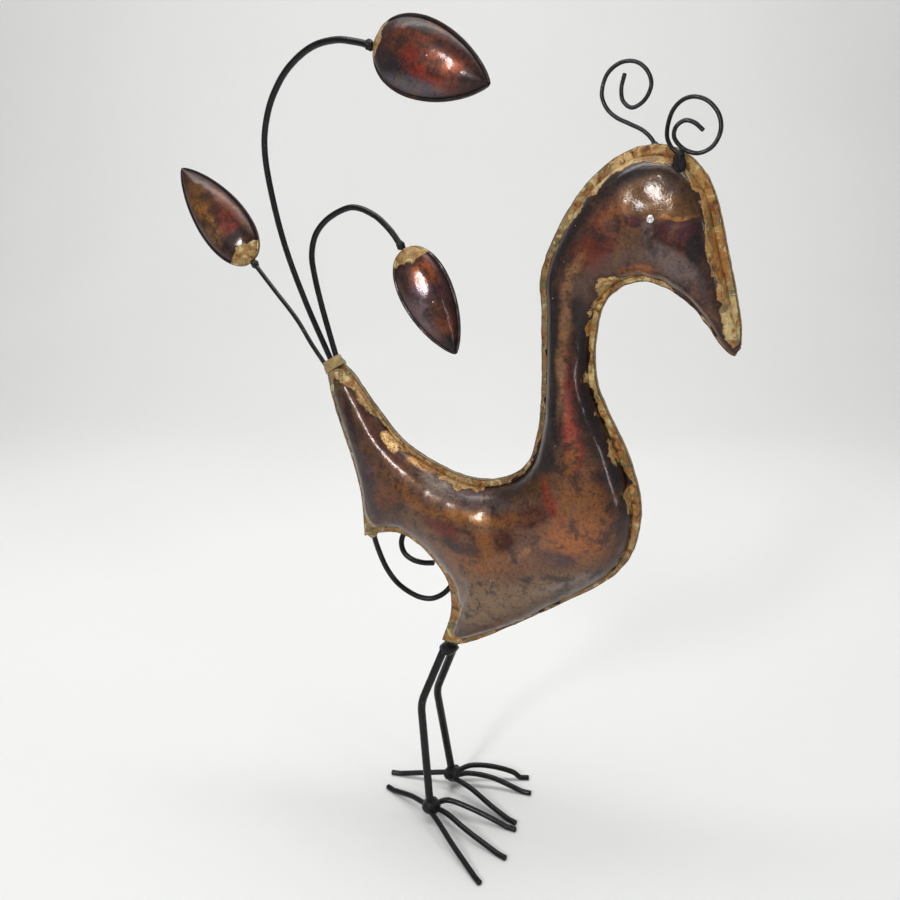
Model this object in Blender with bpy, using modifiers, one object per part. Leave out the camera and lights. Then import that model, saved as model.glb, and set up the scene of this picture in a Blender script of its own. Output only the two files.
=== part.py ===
"""A standing bird ornament of flame-coloured sheet steel and black wire.

Two dished half shells with flat rims are brazed together along a seam.  The body stands on two bent
rod legs with wire toes.  Two crest curls, a curl under the tail and three tail wires with dished
leaves are welded on.  Design values are in millimetres: x runs towards the beak, y to the bird's
left, z up from the floor.  MM turns them into metres where a mesh or a curve is made.
"""

import math

import bmesh
import bpy
import numpy as np
from mathutils import Matrix, Vector
from mathutils.bvhtree import BVHTree

for leftover in list(bpy.data.objects):
    bpy.data.objects.remove(leftover, do_unlink=True)

MM = 0.001

# Clearances and stock.
GAP = 0.3  # between pieces that touch
SHEET = 0.8  # body sheet
LEAF_SHEET = 0.6
SEAM_WIRE = 1.2  # filler run between the two rims
LEG_ROD = 5.0
TOE_ROD = 3.5
STEM_WIRE = 3.5  # both arched tail wires
THIN_STEM_WIRE = 2.8  # the straight tail wire
CURL_WIRE = 3.5  # the curl under the tail
CREST_WIRE = 2.1

# Overall sizes.
BODY_LENGTH = 241.6  # tail tip to beak
BODY_HEIGHT = 290.6  # belly corner to crown
BODY_BULGE = 19.5  # deepest part of one half shell
LEG_HEIGHT = 119.0  # floor to belly corner
BIRD_AT = (17.4, 5.7)  # puts the row's origin under the middle of the whole piece
BELLY_X = 1.0  # belly corner ahead of the ankles

# Each rib of the half shell joins the upper edge to the lower edge:
# upper x, upper z, lower x, lower z, bulge.  Measured from the belly corner.
RIBS = (
    (-65.5, 167.5, -76.8, 161.0, 3.0),  # tail tip
    (-59.0, 162.0, -74.5, 149.0, 4.6),
    (-52.5, 153.8, -70.3, 135.0, 6.5),
    (-45.5, 145.0, -65.0, 120.5, 8.5),
    (-37.0, 135.3, -59.0, 102.5, 10.5),
    (-27.5, 125.5, -55.0, 85.0, 12.5),
    (-15.5, 118.0, -53.5, 60.0, 13.5),  # tail corner
    (-8.0, 114.5, -43.0, 63.5, 14.5),
    (-1.5, 112.0, -29.0, 65.6, 15.5),
    (5.5, 109.6, -16.0, 60.6, 16.5),
    (12.0, 108.0, -5.0, 51.5, 17.2),
    (18.0, 107.1, 4.5, 38.5, 18.0),
    (24.0, 106.8, 6.5, 20.0, 18.5),
    (30.0, 107.3, 0.5, 0.0, 19.0),  # belly corner
    (34.5, 108.2, 9.5, -1.3, 19.0),
    (38.5, 109.4, 21.2, 3.1, 19.3),
    (42.0, 110.8, 44.0, 17.0, 19.5),
    (45.5, 112.6, 70.5, 34.7, 19.5),
    (49.5, 115.4, 95.5, 52.0, 19.3),
    (53.0, 119.3, 108.5, 64.0, 19.0),
    (56.0, 124.5, 116.5, 78.5, 18.5),
    (58.0, 131.5, 119.3, 98.0, 17.5),  # breast
    (59.6, 140.0, 116.5, 115.5, 16.0),
    (60.8, 151.0, 109.0, 134.5, 14.0),
    (61.0, 164.0, 99.5, 152.0, 12.0),
    (60.7, 178.0, 91.8, 169.0, 10.3),
    (60.3, 193.0, 90.0, 187.0, 9.3),  # neck
    (59.8, 208.0, 91.0, 202.0, 9.2),
    (58.6, 220.0, 95.0, 213.0, 9.6),
    (60.5, 231.5, 101.5, 219.3, 10.4),
    (65.5, 244.0, 108.0, 222.3, 11.2),  # throat
    (74.0, 260.5, 114.5, 223.3, 12.0),
    (85.5, 274.5, 120.0, 222.3, 12.6),
    (100.5, 285.7, 125.0, 220.7, 13.0),
    (117.5, 289.3, 130.0, 217.8, 13.0),  # crown
    (131.5, 284.6, 135.0, 214.8, 12.5),
    (142.5, 273.0, 140.0, 210.5, 11.3),
    (148.8, 258.0, 145.0, 205.0, 9.8),
    (153.5, 241.0, 149.5, 199.5, 8.0),
    (158.3, 223.5, 154.0, 193.5, 6.0),
    (162.5, 206.0, 158.5, 189.3, 4.0),
    (163.8, 194.0, 161.5, 188.0, 2.0),  # beak tip
)
TAIL_CORNER = 6
BELLY_CORNER = 13
UPPER_RIM = ((0, 2.2), (6, 3.5), (14, 4.5), (24, 4.0), (30, 4.5), (35, 6.5), (41, 2.5))
LOWER_RIM = ((0, 2.0), (6, 4.5), (10, 3.5), (13, 7.0), (16, 1.8), (19, 3.5), (22, 6.0), (26, 4.0), (33, 3.0), (41, 1.5))
BOW = ((0, 0.0), (5, 0.0), (8, 5.0), (11, 12.0), (13, 16.0), (15, 13.0), (18, 4.0), (21, 0.0), (41, 0.0))
SHOULDER = 8.0  # distance over which the sheet turns up from the rim
SHOULDER_RISE = 7.5
RIDGE = 0.46  # where the ridge lies, from the upper rim to the lower one
ACROSS = (0.05, 0.13, 0.28, 0.46, 0.66, 0.85, 0.95)  # where a rib is sampled between its rims
STATIONS = list(range(0, 32)) + [31.5 + step / 2 for step in range(11)] + list(range(37, len(RIBS)))

# Leaves.
LEAF_BULGE = 7.5
LEAF_RIM = 2.2
LEAF_ROWS = 10
LEAF_WELD = 3.0  # radius of the weld bead at a leaf's base

# Fittings.
EYE_AT = (118.8, 254.0)  # from the belly corner
EYE_RADIUS = 2.1
EYE_HEIGHT = 1.1
TAIL_CAP = (1.46, 9.4, 7.0)  # wider than the tail by this, through it, along it
REST_FLAT = 0.25  # how much the toes are worn flat underneath
REST_RUN = 6.0  # length of toe that lies on the floor
SOCKET = 2.4  # how deep a tail wire's end sits in the cap

steel = bpy.data.collections.new("standing_metal_bird")
cutters = bpy.data.collections.new("cutters")
bpy.context.scene.collection.children.link(steel)
bpy.context.scene.collection.children.link(cutters)


# ---------------------------------------------------------------- helpers


def make_material(name, colour, metallic, roughness):
    material = bpy.data.materials.new(name)
    material.use_nodes = True
    shader = material.node_tree.nodes["Principled BSDF"]
    shader.inputs["Base Color"].default_value = (*colour, 1.0)
    shader.inputs["Metallic"].default_value = metallic
    shader.inputs["Roughness"].default_value = roughness
    return material


def metres(point):
    return Vector(point) * MM


def body_point(x, z, y=0.0):
    """A place on the drawn body, with the body's length and height at their real size."""
    return Vector((BELLY_X + x * LENGTH_SCALE, y, LEG_HEIGHT + z * HEIGHT_SCALE))


def spline(points, wheres, corners=()):
    """A smooth curve through the points, read at these stations, with a sharp turn at each corner."""
    rows = [np.array(point, dtype=float) for point in points]
    last = len(rows) - 1
    samples = []
    for where in wheres:
        index = min(int(where), last - 1)
        t = where - index
        start = rows[index]
        end = rows[index + 1]
        before = rows[index - 1] if index > 0 and index not in corners else 2 * start - end
        after = rows[index + 2] if index + 1 < last and index + 1 not in corners else 2 * end - start
        line = 2 * start + (end - before) * t
        line = line + (2 * before - 5 * start + 4 * end - after) * t**2
        line = line + (3 * start - before - 3 * end + after) * t**3
        samples.append(line / 2)
    return samples


def through(points, steps):
    """The same smooth curve, read at this many even steps from each point to the next."""
    return spline(points, [index / steps for index in range((len(points) - 1) * steps + 1)])


def bent_rod(points, bend, arc_steps=5):
    """Straight runs joined by short bends that start this far from each corner."""
    corners = [Vector(point) for point in points]
    path = [corners[0]]
    for before, corner, after in zip(corners, corners[1:], corners[2:]):
        entry = corner + (before - corner).normalized() * bend
        leave = corner + (after - corner).normalized() * bend
        for step in range(arc_steps + 1):
            t = step / arc_steps
            path.append(entry * (1 - t) ** 2 + corner * 2 * t * (1 - t) + leave * t**2)
    path.append(corners[-1])
    return path


def place(obj, collection, parent, material=None):
    collection.objects.link(obj)
    obj.parent = parent
    if material is not None:
        obj.data.materials.append(material)
    if collection is cutters:
        obj.hide_render = True
        obj.display_type = "WIRE"
    return obj


def local_points(points, parent):
    """Points of the bird's frame, seen from the empty that carries the piece."""
    hinge = HINGES.get(parent.name, Vector((0.0, 0.0, 0.0)))
    return [Vector(point) - hinge for point in points]


def wire(name, points, diameter, parent, material, resolution=2):
    """A round wire as a curve with closed ends."""
    curve = bpy.data.curves.new(name, "CURVE")
    curve.dimensions = "3D"
    curve.bevel_depth = diameter / 2 * MM
    curve.bevel_resolution = resolution
    curve.use_fill_caps = True
    run = curve.splines.new("POLY")
    run.use_smooth = True
    route = local_points(points, parent)
    run.points.add(len(route) - 1)
    for knot, point in zip(run.points, route):
        knot.co = (*metres(point), 1.0)
    return place(bpy.data.objects.new(name, curve), steel, parent, material)


def as_mesh(obj, collection):
    """The same piece as a closed mesh, which a cut can work on."""
    bpy.context.view_layer.update()
    evaluated = obj.evaluated_get(bpy.context.evaluated_depsgraph_get())
    mesh = bpy.data.meshes.new_from_object(evaluated)
    shape = bmesh.new()
    shape.from_mesh(mesh)
    bmesh.ops.remove_doubles(shape, verts=shape.verts, dist=0.00001)
    bmesh.ops.recalc_face_normals(shape, faces=shape.faces)
    shape.to_mesh(mesh)
    shape.free()
    name = obj.name
    parent = obj.parent
    bpy.data.objects.remove(obj, do_unlink=True)
    return place(bpy.data.objects.new(name, mesh), collection, parent)


def extended(points, extra):
    """The same route, longer by this much at both ends."""
    route = [Vector(point) for point in points]
    route[0] = route[0] + (route[0] - route[1]).normalized() * extra
    route[-1] = route[-1] + (route[-1] - route[-2]).normalized() * extra
    return route


def wire_clearance(name, points, diameter, parent):
    """A cutter that leaves room round a wire and its ends."""
    rod = wire(name + "_clearance", extended(points, GAP), diameter + 2 * GAP, parent, None)
    return as_mesh(rod, cutters)


def cut(obj, *tools):
    for tool in tools:
        boolean = obj.modifiers.new("cut_" + tool.name, "BOOLEAN")
        boolean.operation = "DIFFERENCE"
        boolean.solver = "EXACT"
        boolean.object = tool
    return obj


def mesh_piece(name, shape, parent, material, angle=40.0):
    """Finishes a bmesh given in millimetres as one smooth-shaded piece."""
    mesh = bpy.data.meshes.new(name)
    hinge = HINGES.get(parent.name, Vector((0.0, 0.0, 0.0)))
    bmesh.ops.transform(shape, matrix=Matrix.Scale(MM, 4) @ Matrix.Translation(-hinge), verts=shape.verts)
    shape.to_mesh(mesh)
    shape.free()
    mesh.shade_smooth()
    mesh.set_sharp_from_angle(angle=math.radians(angle))
    return place(bpy.data.objects.new(name, mesh), steel, parent, material)


def weld(name, centre, radii, parent, material, *tools):
    """A lump of weld metal, cut clear of the pieces that it holds."""
    shape = bmesh.new()
    bmesh.ops.create_uvsphere(shape, u_segments=12, v_segments=8, radius=1.0)
    bmesh.ops.scale(shape, vec=radii, verts=shape.verts)
    bmesh.ops.translate(shape, vec=centre, verts=shape.verts)
    return cut(mesh_piece(name, shape, parent, material), *tools)


def keyed(keys, where):
    """A value read from (station, value) keys."""
    return float(np.interp(where, [key[0] for key in keys], [key[1] for key in keys]))


# ---------------------------------------------------------------- dished sheets


def rise(share, width, bulge):
    """Height of a dished sheet between its rims, from 0 at one rim to 0 at the other."""
    even = share ** (math.log(0.5) / math.log(RIDGE))
    dome = 1.0 - abs(2.0 * even - 1.0) ** 2.2
    reach = min(SHOULDER, width / 2.0)
    near = min(share, 1.0 - share) * width / reach
    shoulder = math.sqrt(max(0.0, 1.0 - (1.0 - min(near, 1.0)) ** 2))
    step = min(SHOULDER_RISE, 0.6 * bulge)
    return step * shoulder + (bulge - step) * dome


def rib_points(upper, lower, bulge, upper_rim, lower_rim, bow=0.0):
    """Points (x, z, height) from one edge of a dished sheet to the other; bow curves the rib forwards."""
    span = lower - upper
    width = float(np.linalg.norm(span))
    sideways = np.array((-span[1], span[0])) / width * bow
    first = min(upper_rim / width, 0.35)
    final = 1.0 - min(lower_rim / width, 0.35)
    shares = [0.0, first] + [first + (final - first) * part for part in ACROSS] + [final, 1.0]
    points = []
    for share in shares:
        inner = (share - first) / (final - first)
        height = rise(inner, width * (final - first), bulge) if 0.0 < inner < 1.0 else 0.0
        x, z = upper + span * share + sideways * 4.0 * share * (1.0 - share)
        points.append((x, z, height))
    return points


def slant(edge, index, span):
    """How much wider a rim measures along a rib that meets its edge at a slant."""
    tangent = edge[min(index + 1, len(edge) - 1)] - edge[max(index - 1, 0)]
    cross = abs(tangent[0] * span[1] - tangent[1] * span[0])
    return 1.0 / max(0.35, cross / (np.linalg.norm(tangent) * np.linalg.norm(span)))


def body_ribs():
    """The half shell as rows of (x, z, height), tail to beak."""
    corners = (TAIL_CORNER, BELLY_CORNER)
    upper = spline([rib[0:2] for rib in RIBS], STATIONS)
    lower = spline([rib[2:4] for rib in RIBS], STATIONS, corners)
    bulges = spline([rib[4:5] for rib in RIBS], STATIONS)
    size = np.array((LENGTH_SCALE, HEIGHT_SCALE))
    upper = [point * size + (BELLY_X, LEG_HEIGHT) for point in upper]
    lower = [point * size + (BELLY_X, LEG_HEIGHT) for point in lower]
    rows = []
    for index, station in enumerate(STATIONS):
        span = lower[index] - upper[index]
        bow = keyed(BOW, station)
        bend = np.array((-span[1], span[0])) / np.linalg.norm(span) * 4.0 * bow
        upper_rim = keyed(UPPER_RIM, station) * slant(upper, index, span + bend)
        lower_rim = keyed(LOWER_RIM, station) * slant(lower, index, span - bend)
        depth = float(bulges[index][0]) * BULGE_SCALE
        rows.append(rib_points(upper[index], lower[index], depth, upper_rim, lower_rim, bow))
    return rows


def sheet_grid(rows, side, offset):
    """An open grid facing away from the middle plane, on the side given by -1 or 1."""
    shape = bmesh.new()
    grid = [[shape.verts.new((x, side * (offset + height), z)) for x, z, height in row] for row in rows]
    for row, after in zip(grid, grid[1:]):
        for column in range(len(row) - 1):
            corners = [row[column], row[column + 1], after[column + 1], after[column]]
            shape.faces.new(corners)
    shape.normal_update()
    if sum(face.normal.y for face in shape.faces) * side < 0:
        bmesh.ops.reverse_faces(shape, faces=shape.faces)
    return shape


def solidify(obj, thickness):
    sheet = obj.modifiers.new("sheet", "SOLIDIFY")
    sheet.thickness = thickness * MM
    sheet.offset = 1.0
    sheet.use_quality_normals = True
    return obj


def sheet_clearance(name, rows, side, offset, margin, parent):
    """A solid cutter from the middle plane to just outside a dished sheet."""
    shape = sheet_grid(rows, side, offset)
    for vertex, normal in [(vertex, vertex.normal.copy()) for vertex in shape.verts]:
        vertex.co += normal * margin
    skin = list(shape.faces)
    swept = bmesh.ops.extrude_face_region(shape, geom=skin)
    for item in swept["geom"]:
        if isinstance(item, bmesh.types.BMVert):
            item.co.y = -side * offset
    bmesh.ops.recalc_face_normals(shape, faces=shape.faces)
    piece = mesh_piece(name + "_clearance", shape, parent, None)
    steel.objects.unlink(piece)
    cutters.objects.link(piece)
    piece.hide_render = True
    piece.display_type = "WIRE"
    return piece


# ---------------------------------------------------------------- leaves


def leaf_rows(length, width):
    """A leaf in its own plane: blunt at the base, widest before its middle, pointed at the end."""
    peak = 0.375**0.45 * 0.625**0.75
    rows = []
    for index in range(LEAF_ROWS):
        along = 0.006 + 0.984 * (1 - math.cos(math.pi * index / (LEAF_ROWS - 1))) / 2
        half = width / 2 * along**0.45 * (1 - along) ** 0.75 / peak
        bulge = LEAF_BULGE * math.sin(math.pi * along**0.8) ** 0.7
        upper = np.array((along * length, half))
        lower = np.array((along * length, -half))
        rows.append(rib_points(upper, lower, bulge, LEAF_RIM, LEAF_RIM))
    return rows


def leaf_frame(base, tip, roll):
    """Axes of a leaf: x along it, y away from its front, z across it, rolled about its length."""
    along = (Vector(tip) - Vector(base)).normalized()
    away = Vector((0.0, 1.0, 0.0))
    away = (away - along * away.dot(along)).normalized()
    away.rotate(Matrix.Rotation(math.radians(roll), 3, along))
    across = along.cross(away)
    frame = Matrix((along, away, across)).transposed().to_4x4()
    frame.translation = base
    return frame


def add_leaf(name, stem_end, tip, width, roll, lift, parent, stem_clearance):
    """Two dished halves on the end of a tail wire, with a bead of weld between."""
    direction = (Vector(tip) - Vector(stem_end)).normalized()
    base = Vector(stem_end) + direction * (LEAF_WELD + GAP)
    base = base + leaf_frame(base, tip, roll).col[2].xyz * lift
    frame = leaf_frame(base, tip, roll)
    rows = leaf_rows((Vector(tip) - base).length, width)
    for side, half in ((-1, "front"), (1, "back")):
        shape = sheet_grid(rows, side, GAP / 2)
        bmesh.ops.transform(shape, matrix=frame, verts=shape.verts)
        piece = mesh_piece(name + "_" + half, shape, parent, leaf_finish)
        solidify(piece, LEAF_SHEET)
    radii = (LEAF_WELD, LEAF_WELD, LEAF_WELD)
    weld(name + "_weld", stem_end, radii, parent, black_paint, stem_clearance)


# ---------------------------------------------------------------- sizes that follow from others

DRAWN_LENGTH = max(rib[0] for rib in RIBS) - min(rib[2] for rib in RIBS)
DRAWN_HEIGHT = max(rib[1] for rib in RIBS) - min(rib[3] for rib in RIBS)
LENGTH_SCALE = BODY_LENGTH / (DRAWN_LENGTH + 1.0)
HEIGHT_SCALE = BODY_HEIGHT / DRAWN_HEIGHT
BULGE_SCALE = BODY_BULGE / max(rib[4] for rib in RIBS)
RIM_INSIDE = SEAM_WIRE / 2 + GAP  # middle plane to the inner face of a rim
RIM_OUTSIDE = RIM_INSIDE + SHEET

flame_finish = make_material("flame_coloured_steel", (0.23, 0.10, 0.045), 0.9, 0.28)
leaf_finish = make_material("leaf_steel", (0.17, 0.055, 0.035), 0.9, 0.2)
braze = make_material("braze", (0.52, 0.35, 0.12), 0.9, 0.4)
black_paint = make_material("black_wire", (0.012, 0.012, 0.013), 0.0, 0.35)
silver = make_material("eye_metal", (0.8, 0.78, 0.74), 1.0, 0.25)

bird = bpy.data.objects.new("bird_frame", None)
bird.location = metres((*BIRD_AT, 0.0))
steel.objects.link(bird)
HINGES = {}


# ---------------------------------------------------------------- body

rows = body_ribs()
shells = {}
shell_clearance = {}
for side, name in ((-1, "body_shell_right"), (1, "body_shell_left")):
    shells[side] = mesh_piece(name, sheet_grid(rows, side, RIM_INSIDE), bird, flame_finish, angle=50.0)
    solidify(shells[side], SHEET)
    shell_clearance[side] = sheet_clearance(name, rows, side, RIM_INSIDE, SHEET + GAP + 0.2, bird)


def outline_run(edge, first, last):
    """Part of the body's edge, from one rib to another, a little inside the rim."""
    run = []
    for station, row in zip(STATIONS, rows):
        if not first <= station <= last:
            continue
        x, z, _ = row[edge]
        inner_x, inner_z, _ = row[1 if edge == 0 else -2]
        inward = Vector((inner_x - x, 0.0, inner_z - z)).normalized() * SEAM_WIRE / 3
        run.append(Vector((x, 0.0, z)) + inward)
    return run


LAST_RIB = len(RIBS) - 1
wire("seam_back", outline_run(0, 0, LAST_RIB), SEAM_WIRE, bird, braze, resolution=1)
wire("seam_breast", outline_run(-1, BELLY_CORNER + 1, LAST_RIB - 1), SEAM_WIRE, bird, braze, resolution=1)
wire("seam_vent", outline_run(-1, TAIL_CORNER, BELLY_CORNER), SEAM_WIRE, bird, braze, resolution=1)
wire("seam_tail", outline_run(-1, 0, TAIL_CORNER)[:-1], SEAM_WIRE, bird, braze, resolution=1)

bpy.context.view_layer.update()
depsgraph = bpy.context.evaluated_depsgraph_get()
skins = {side: BVHTree.FromObject(shells[side], depsgraph) for side in shells}


def on_skin(x, z, side):
    """The outer face of a half shell at this place, with its outward normal."""
    origin = metres((x, side * 100.0, z))
    place_hit, normal, _, _ = skins[side].ray_cast(origin, Vector((0.0, -side, 0.0)))
    return place_hit / MM, normal


def add_eye(name, side):
    """A low domed stud with a dimple, square to the side of the head."""
    profile = [(0.0, 0.7), (0.25, 0.75), (0.45, 1.0), (0.75, 0.85), (1.0, 0.35), (1.0, 0.0), (0.0, 0.0)]
    mesh = bpy.data.meshes.new(name)
    turned = [(EYE_RADIUS * r * MM, 0.0, EYE_HEIGHT * h * MM) for r, h in profile]
    mesh.from_pydata(turned, [(k, k + 1) for k in range(len(turned) - 1)], [])
    eye = place(bpy.data.objects.new(name, mesh), steel, bird, silver)
    screw = eye.modifiers.new("turn", "SCREW")
    screw.steps = 18
    screw.render_steps = 18
    screw.use_merge_vertices = True
    screw.merge_threshold = 0.00001
    centre = body_point(*EYE_AT)
    seat, normal = on_skin(centre.x, centre.z, side)
    sag = EYE_RADIUS**2 / 16.0  # the head falls away under the stud
    eye.location = metres(seat + normal * (GAP + sag))
    eye.rotation_mode = "QUATERNION"
    eye.rotation_quaternion = Vector((0.0, 0.0, 1.0)).rotation_difference(normal)
    return eye


add_eye("eye_stud_right", -1)
add_eye("eye_stud_left", 1)


# ---------------------------------------------------------------- crest

CREST_OUT = RIM_OUTSIDE + GAP + CREST_WIRE / 2 + 1.2  # wire axis from the middle plane

# Each curl, from its weld: along x, away from the head, up.
CREST_RIGHT = (
    (0.4, 2.2, -4.4),
    (-0.4, 0.8, 1.0),
    (-4.6, 0.6, 5.0),
    (-6.8, 1.0, 11.0),
    (-5.2, 1.3, 20.0),
    (-0.8, 1.6, 25.4),
    (5.2, 2.0, 27.0),
    (12.0, 2.4, 24.6),
    (17.2, 2.8, 18.6),
    (18.6, 3.2, 11.4),
    (15.6, 3.6, 4.6),
    (9.4, 3.9, 1.6),
    (2.6, 4.1, 3.4),
    (-2.4, 4.2, 8.6),
    (-2.0, 4.3, 13.6),
    (2.0, 4.3, 16.4),
    (6.6, 4.3, 15.2),
    (11.0, 4.3, 11.6),
)
CREST_LEFT = (
    (1.6, 0.0, -5.5),
    (0.6, 0.0, 1.0),
    (-4.6, 0.3, 6.6),
    (-12.2, 0.6, 10.4),
    (-19.4, 0.8, 13.8),
    (-24.6, 1.0, 18.6),
    (-27.2, 1.2, 25.4),
    (-25.0, 1.4, 34.0),
    (-18.8, 1.6, 39.0),
    (-11.0, 1.6, 39.2),
    (-5.0, 1.6, 34.8),
    (-2.6, 1.6, 28.2),
    (-5.4, 1.6, 21.4),
    (-11.4, 1.6, 18.0),
    (-16.2, 1.6, 21.2),
    (-17.4, 1.6, 27.2),
    (-16.0, 1.6, 34.2),
)
crest_routes = {}
for name, side, root, offsets in (
    ("crest_curl_right", -1, body_point(129.0, 282.6), CREST_RIGHT),
    ("crest_curl_left", 1, body_point(113.4, 289.2), CREST_LEFT),
):
    knots = [root + Vector((x, side * (CREST_OUT + y), z)) for x, y, z in offsets]
    route = through(knots, 2)
    wire(name, route, CREST_WIRE, bird, black_paint)
    room = wire_clearance(name, route, CREST_WIRE, bird)
    centre = knots[0] + Vector((0.0, side * 0.2, 1.2))
    weld(name.replace("curl", "weld"), centre, (2.9, 2.4, 5.6), bird, black_paint, room, shell_clearance[side])


# ---------------------------------------------------------------- legs and feet

FLOOR_CUT = bmesh.new()
bmesh.ops.create_cube(FLOOR_CUT, size=1.0)
bmesh.ops.scale(FLOOR_CUT, vec=(400.0, 400.0, 20.0), verts=FLOOR_CUT.verts)
bmesh.ops.translate(FLOOR_CUT, vec=(0.0, 0.0, -10.0), verts=FLOOR_CUT.verts)
floor_plane = mesh_piece("floor_plane", FLOOR_CUT, bird, None)
steel.objects.unlink(floor_plane)
cutters.objects.link(floor_plane)
floor_plane.hide_render = True
floor_plane.display_type = "WIRE"

TOE_AXIS = TOE_ROD / 2 - REST_FLAT  # height of a toe's axis where it rests
TOE_PITCH = TOE_ROD + 1.0  # between the roots of neighbouring toes
TOE_LIFT = 6.6  # underside of a toe's root above the floor
LEG_FOOT = TOE_LIFT + TOE_AXIS + TOE_ROD / 2 + GAP + 0.2  # lower end of a leg rod
HIP_SPREAD = LEG_ROD / 2 + GAP + 0.3
KNEE_HEIGHT = 0.64  # share of the leg's height
WELD_DROP = 6.0  # leg's upper end below the belly corner

ANKLES = {"right": Vector((-0.5, -16.5, 0.0)), "left": Vector((-2.5, 21.0, 0.0))}
KNEES = {"right": (-9.6, -10.0), "left": (-8.0, 9.5)}
HIPS = {"right": (3.2, -HIP_SPREAD), "left": (7.4, HIP_SPREAD)}

# Each toe: name, root across in toe pitches, root ahead, middle points (x, y, lift), tip (x, y).
TOES = {
    "right": (
        ("inner", 1, 2.6, ((9.0, 8.6, 8.0), (22.5, 9.6, 6.4), (38.5, 9.9, 3.0)), (55.2, 10.0)),
        ("middle", 0, 4.4, ((14.0, -3.0, 7.0), (30.5, -9.4, 4.6)), (59.0, -16.8)),
        ("outer", -1, 2.6, ((12.5, -12.0, 5.6), (28.0, -24.4, 3.4)), (53.1, -42.5)),
        ("hind", 0.2, -4.0, ((-17.0, 6.8, 4.4),), (-39.0, 14.6)),
    ),
    "left": (
        ("inner", -1, 2.6, ((10.0, -7.0, 7.2), (20.0, -10.0, 6.0), (37.0, -16.8, 2.8)), (55.0, -21.8)),
        ("middle", 0, 4.4, ((12.0, 3.6, 7.8), (27.0, 8.2, 5.6)), (53.2, 10.8)),
        ("outer", 1, 2.6, ((10.0, 9.6, 9.6), (22.0, 15.6, 8.8), (35.0, 21.6, 4.6)), (46.0, 26.4)),
        ("hind", -0.1, -4.0, ((-20.0, -3.6, 3.4),), (-42.0, -7.8)),
    ),
}
leg_room = {}
for side, ankle in ANKLES.items():
    hip_x, hip_y = HIPS[side]
    knee_x, knee_y = KNEES[side]
    hip = Vector((hip_x, hip_y, LEG_HEIGHT - WELD_DROP))
    knee = Vector((knee_x, knee_y, LEG_HEIGHT * KNEE_HEIGHT))
    foot = ankle + Vector((0.0, 0.0, LEG_FOOT))
    route = bent_rod((hip, knee, foot), 6.0)
    wire("leg_" + side, route, LEG_ROD, bird, black_paint, resolution=3)
    leg_room[side] = wire_clearance("leg_" + side, route, LEG_ROD, bird)
    toe_room = []
    for toe, across, ahead, middle, tip in TOES[side]:
        root = ankle + Vector((ahead, across * TOE_PITCH, TOE_LIFT + TOE_AXIS))
        end = ankle + Vector((*tip, TOE_AXIS))
        bows = [ankle + Vector((x, y, lift + TOE_AXIS)) for x, y, lift in middle]
        back = bows[-1] - end
        back.z = 0.0
        touch = end + back.normalized() * REST_RUN
        knots = through([root, *bows, touch], 4) + [end]
        name = "toe_" + side + "_" + toe
        piece = as_mesh(wire(name, knots, TOE_ROD, bird, None), steel)
        piece.name = name
        piece.data.materials.append(black_paint)
        piece.data.shade_smooth()
        piece.data.set_sharp_from_angle(angle=math.radians(40.0))
        cut(piece, floor_plane)
        toe_room.append(wire_clearance(name, knots, TOE_ROD, bird))
    centre = ankle + Vector((1.0, 0.0, TOE_LIFT + TOE_AXIS + 0.6))
    radii = (5.6, TOE_PITCH + 2.4, 4.6)
    weld("ankle_weld_" + side, centre, radii, bird, black_paint, leg_room[side], *toe_room)

belly_centre = Vector((5.3, 0.0, LEG_HEIGHT - WELD_DROP + 0.2))
belly_radii = (5.6, HIP_SPREAD + LEG_ROD / 2 + 1.2, 3.8)
weld("belly_weld", belly_centre, belly_radii, bird, black_paint, leg_room["right"], leg_room["left"])


# ---------------------------------------------------------------- curl under the tail

# From the tail corner: along x, away from the middle plane, up.
TAIL_CURL = (
    (2.2, 0.2, 3.2),
    (3.2, 0.3, -1.0),
    (4.6, 1.4, -8.0),
    (7.2, 3.2, -17.5),
    (10.6, 5.0, -26.0),
    (16.2, 6.8, -34.0),
    (23.6, 8.4, -39.4),
    (31.6, 9.8, -42.4),
    (39.4, 11.6, -42.2),
    (47.0, 13.8, -37.4),
    (52.4, 15.6, -28.6),
    (53.6, 16.6, -17.0),
    (49.6, 16.8, -5.6),
    (41.4, 16.6, 3.0),
    (30.6, 15.6, 6.0),
    (21.4, 13.6, 2.6),
    (17.0, 11.8, -6.0),
    (19.0, 10.6, -13.4),
    (25.0, 10.2, -17.4),
    (33.0, 10.2, -18.4),
    (40.8, 10.2, -17.2),
)
CURL_OUT = RIM_OUTSIDE + GAP + CURL_WIRE / 2 + 0.2
tail_corner = body_point(RIBS[TAIL_CORNER][2], RIBS[TAIL_CORNER][3])
curl_knots = [tail_corner + Vector((x, CURL_OUT + y, z)) for x, y, z in TAIL_CURL]
root_x, root_y, root_z = TAIL_CURL[0]
curl_knots[0] = tail_corner + Vector((root_x * LENGTH_SCALE, CURL_OUT + root_y, root_z * HEIGHT_SCALE))
curl_route = through(curl_knots, 2)
wire("tail_curl", curl_route, CURL_WIRE, bird, black_paint)
curl_room = wire_clearance("tail_curl", curl_route, CURL_WIRE, bird)
curl_weld_at = curl_knots[0] + Vector((0.0, -0.2, -1.6))
weld("tail_curl_weld", curl_weld_at, (3.4, 2.8, 4.2), bird, braze, curl_room, shell_clearance[1])


# ---------------------------------------------------------------- tail wires and leaves

tail_upper = body_point(*RIBS[0][0:2])
tail_lower = body_point(*RIBS[0][2:4])
tail_across = (tail_lower - tail_upper).normalized()
tail_along = Vector((tail_across.z, 0.0, -tail_across.x))
cap_overhang, cap_depth, cap_length = TAIL_CAP
cap_width = (tail_lower - tail_upper).length + cap_overhang
cap_centre = (tail_upper + tail_lower) / 2 + tail_along * (GAP + cap_length / 2)

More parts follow.
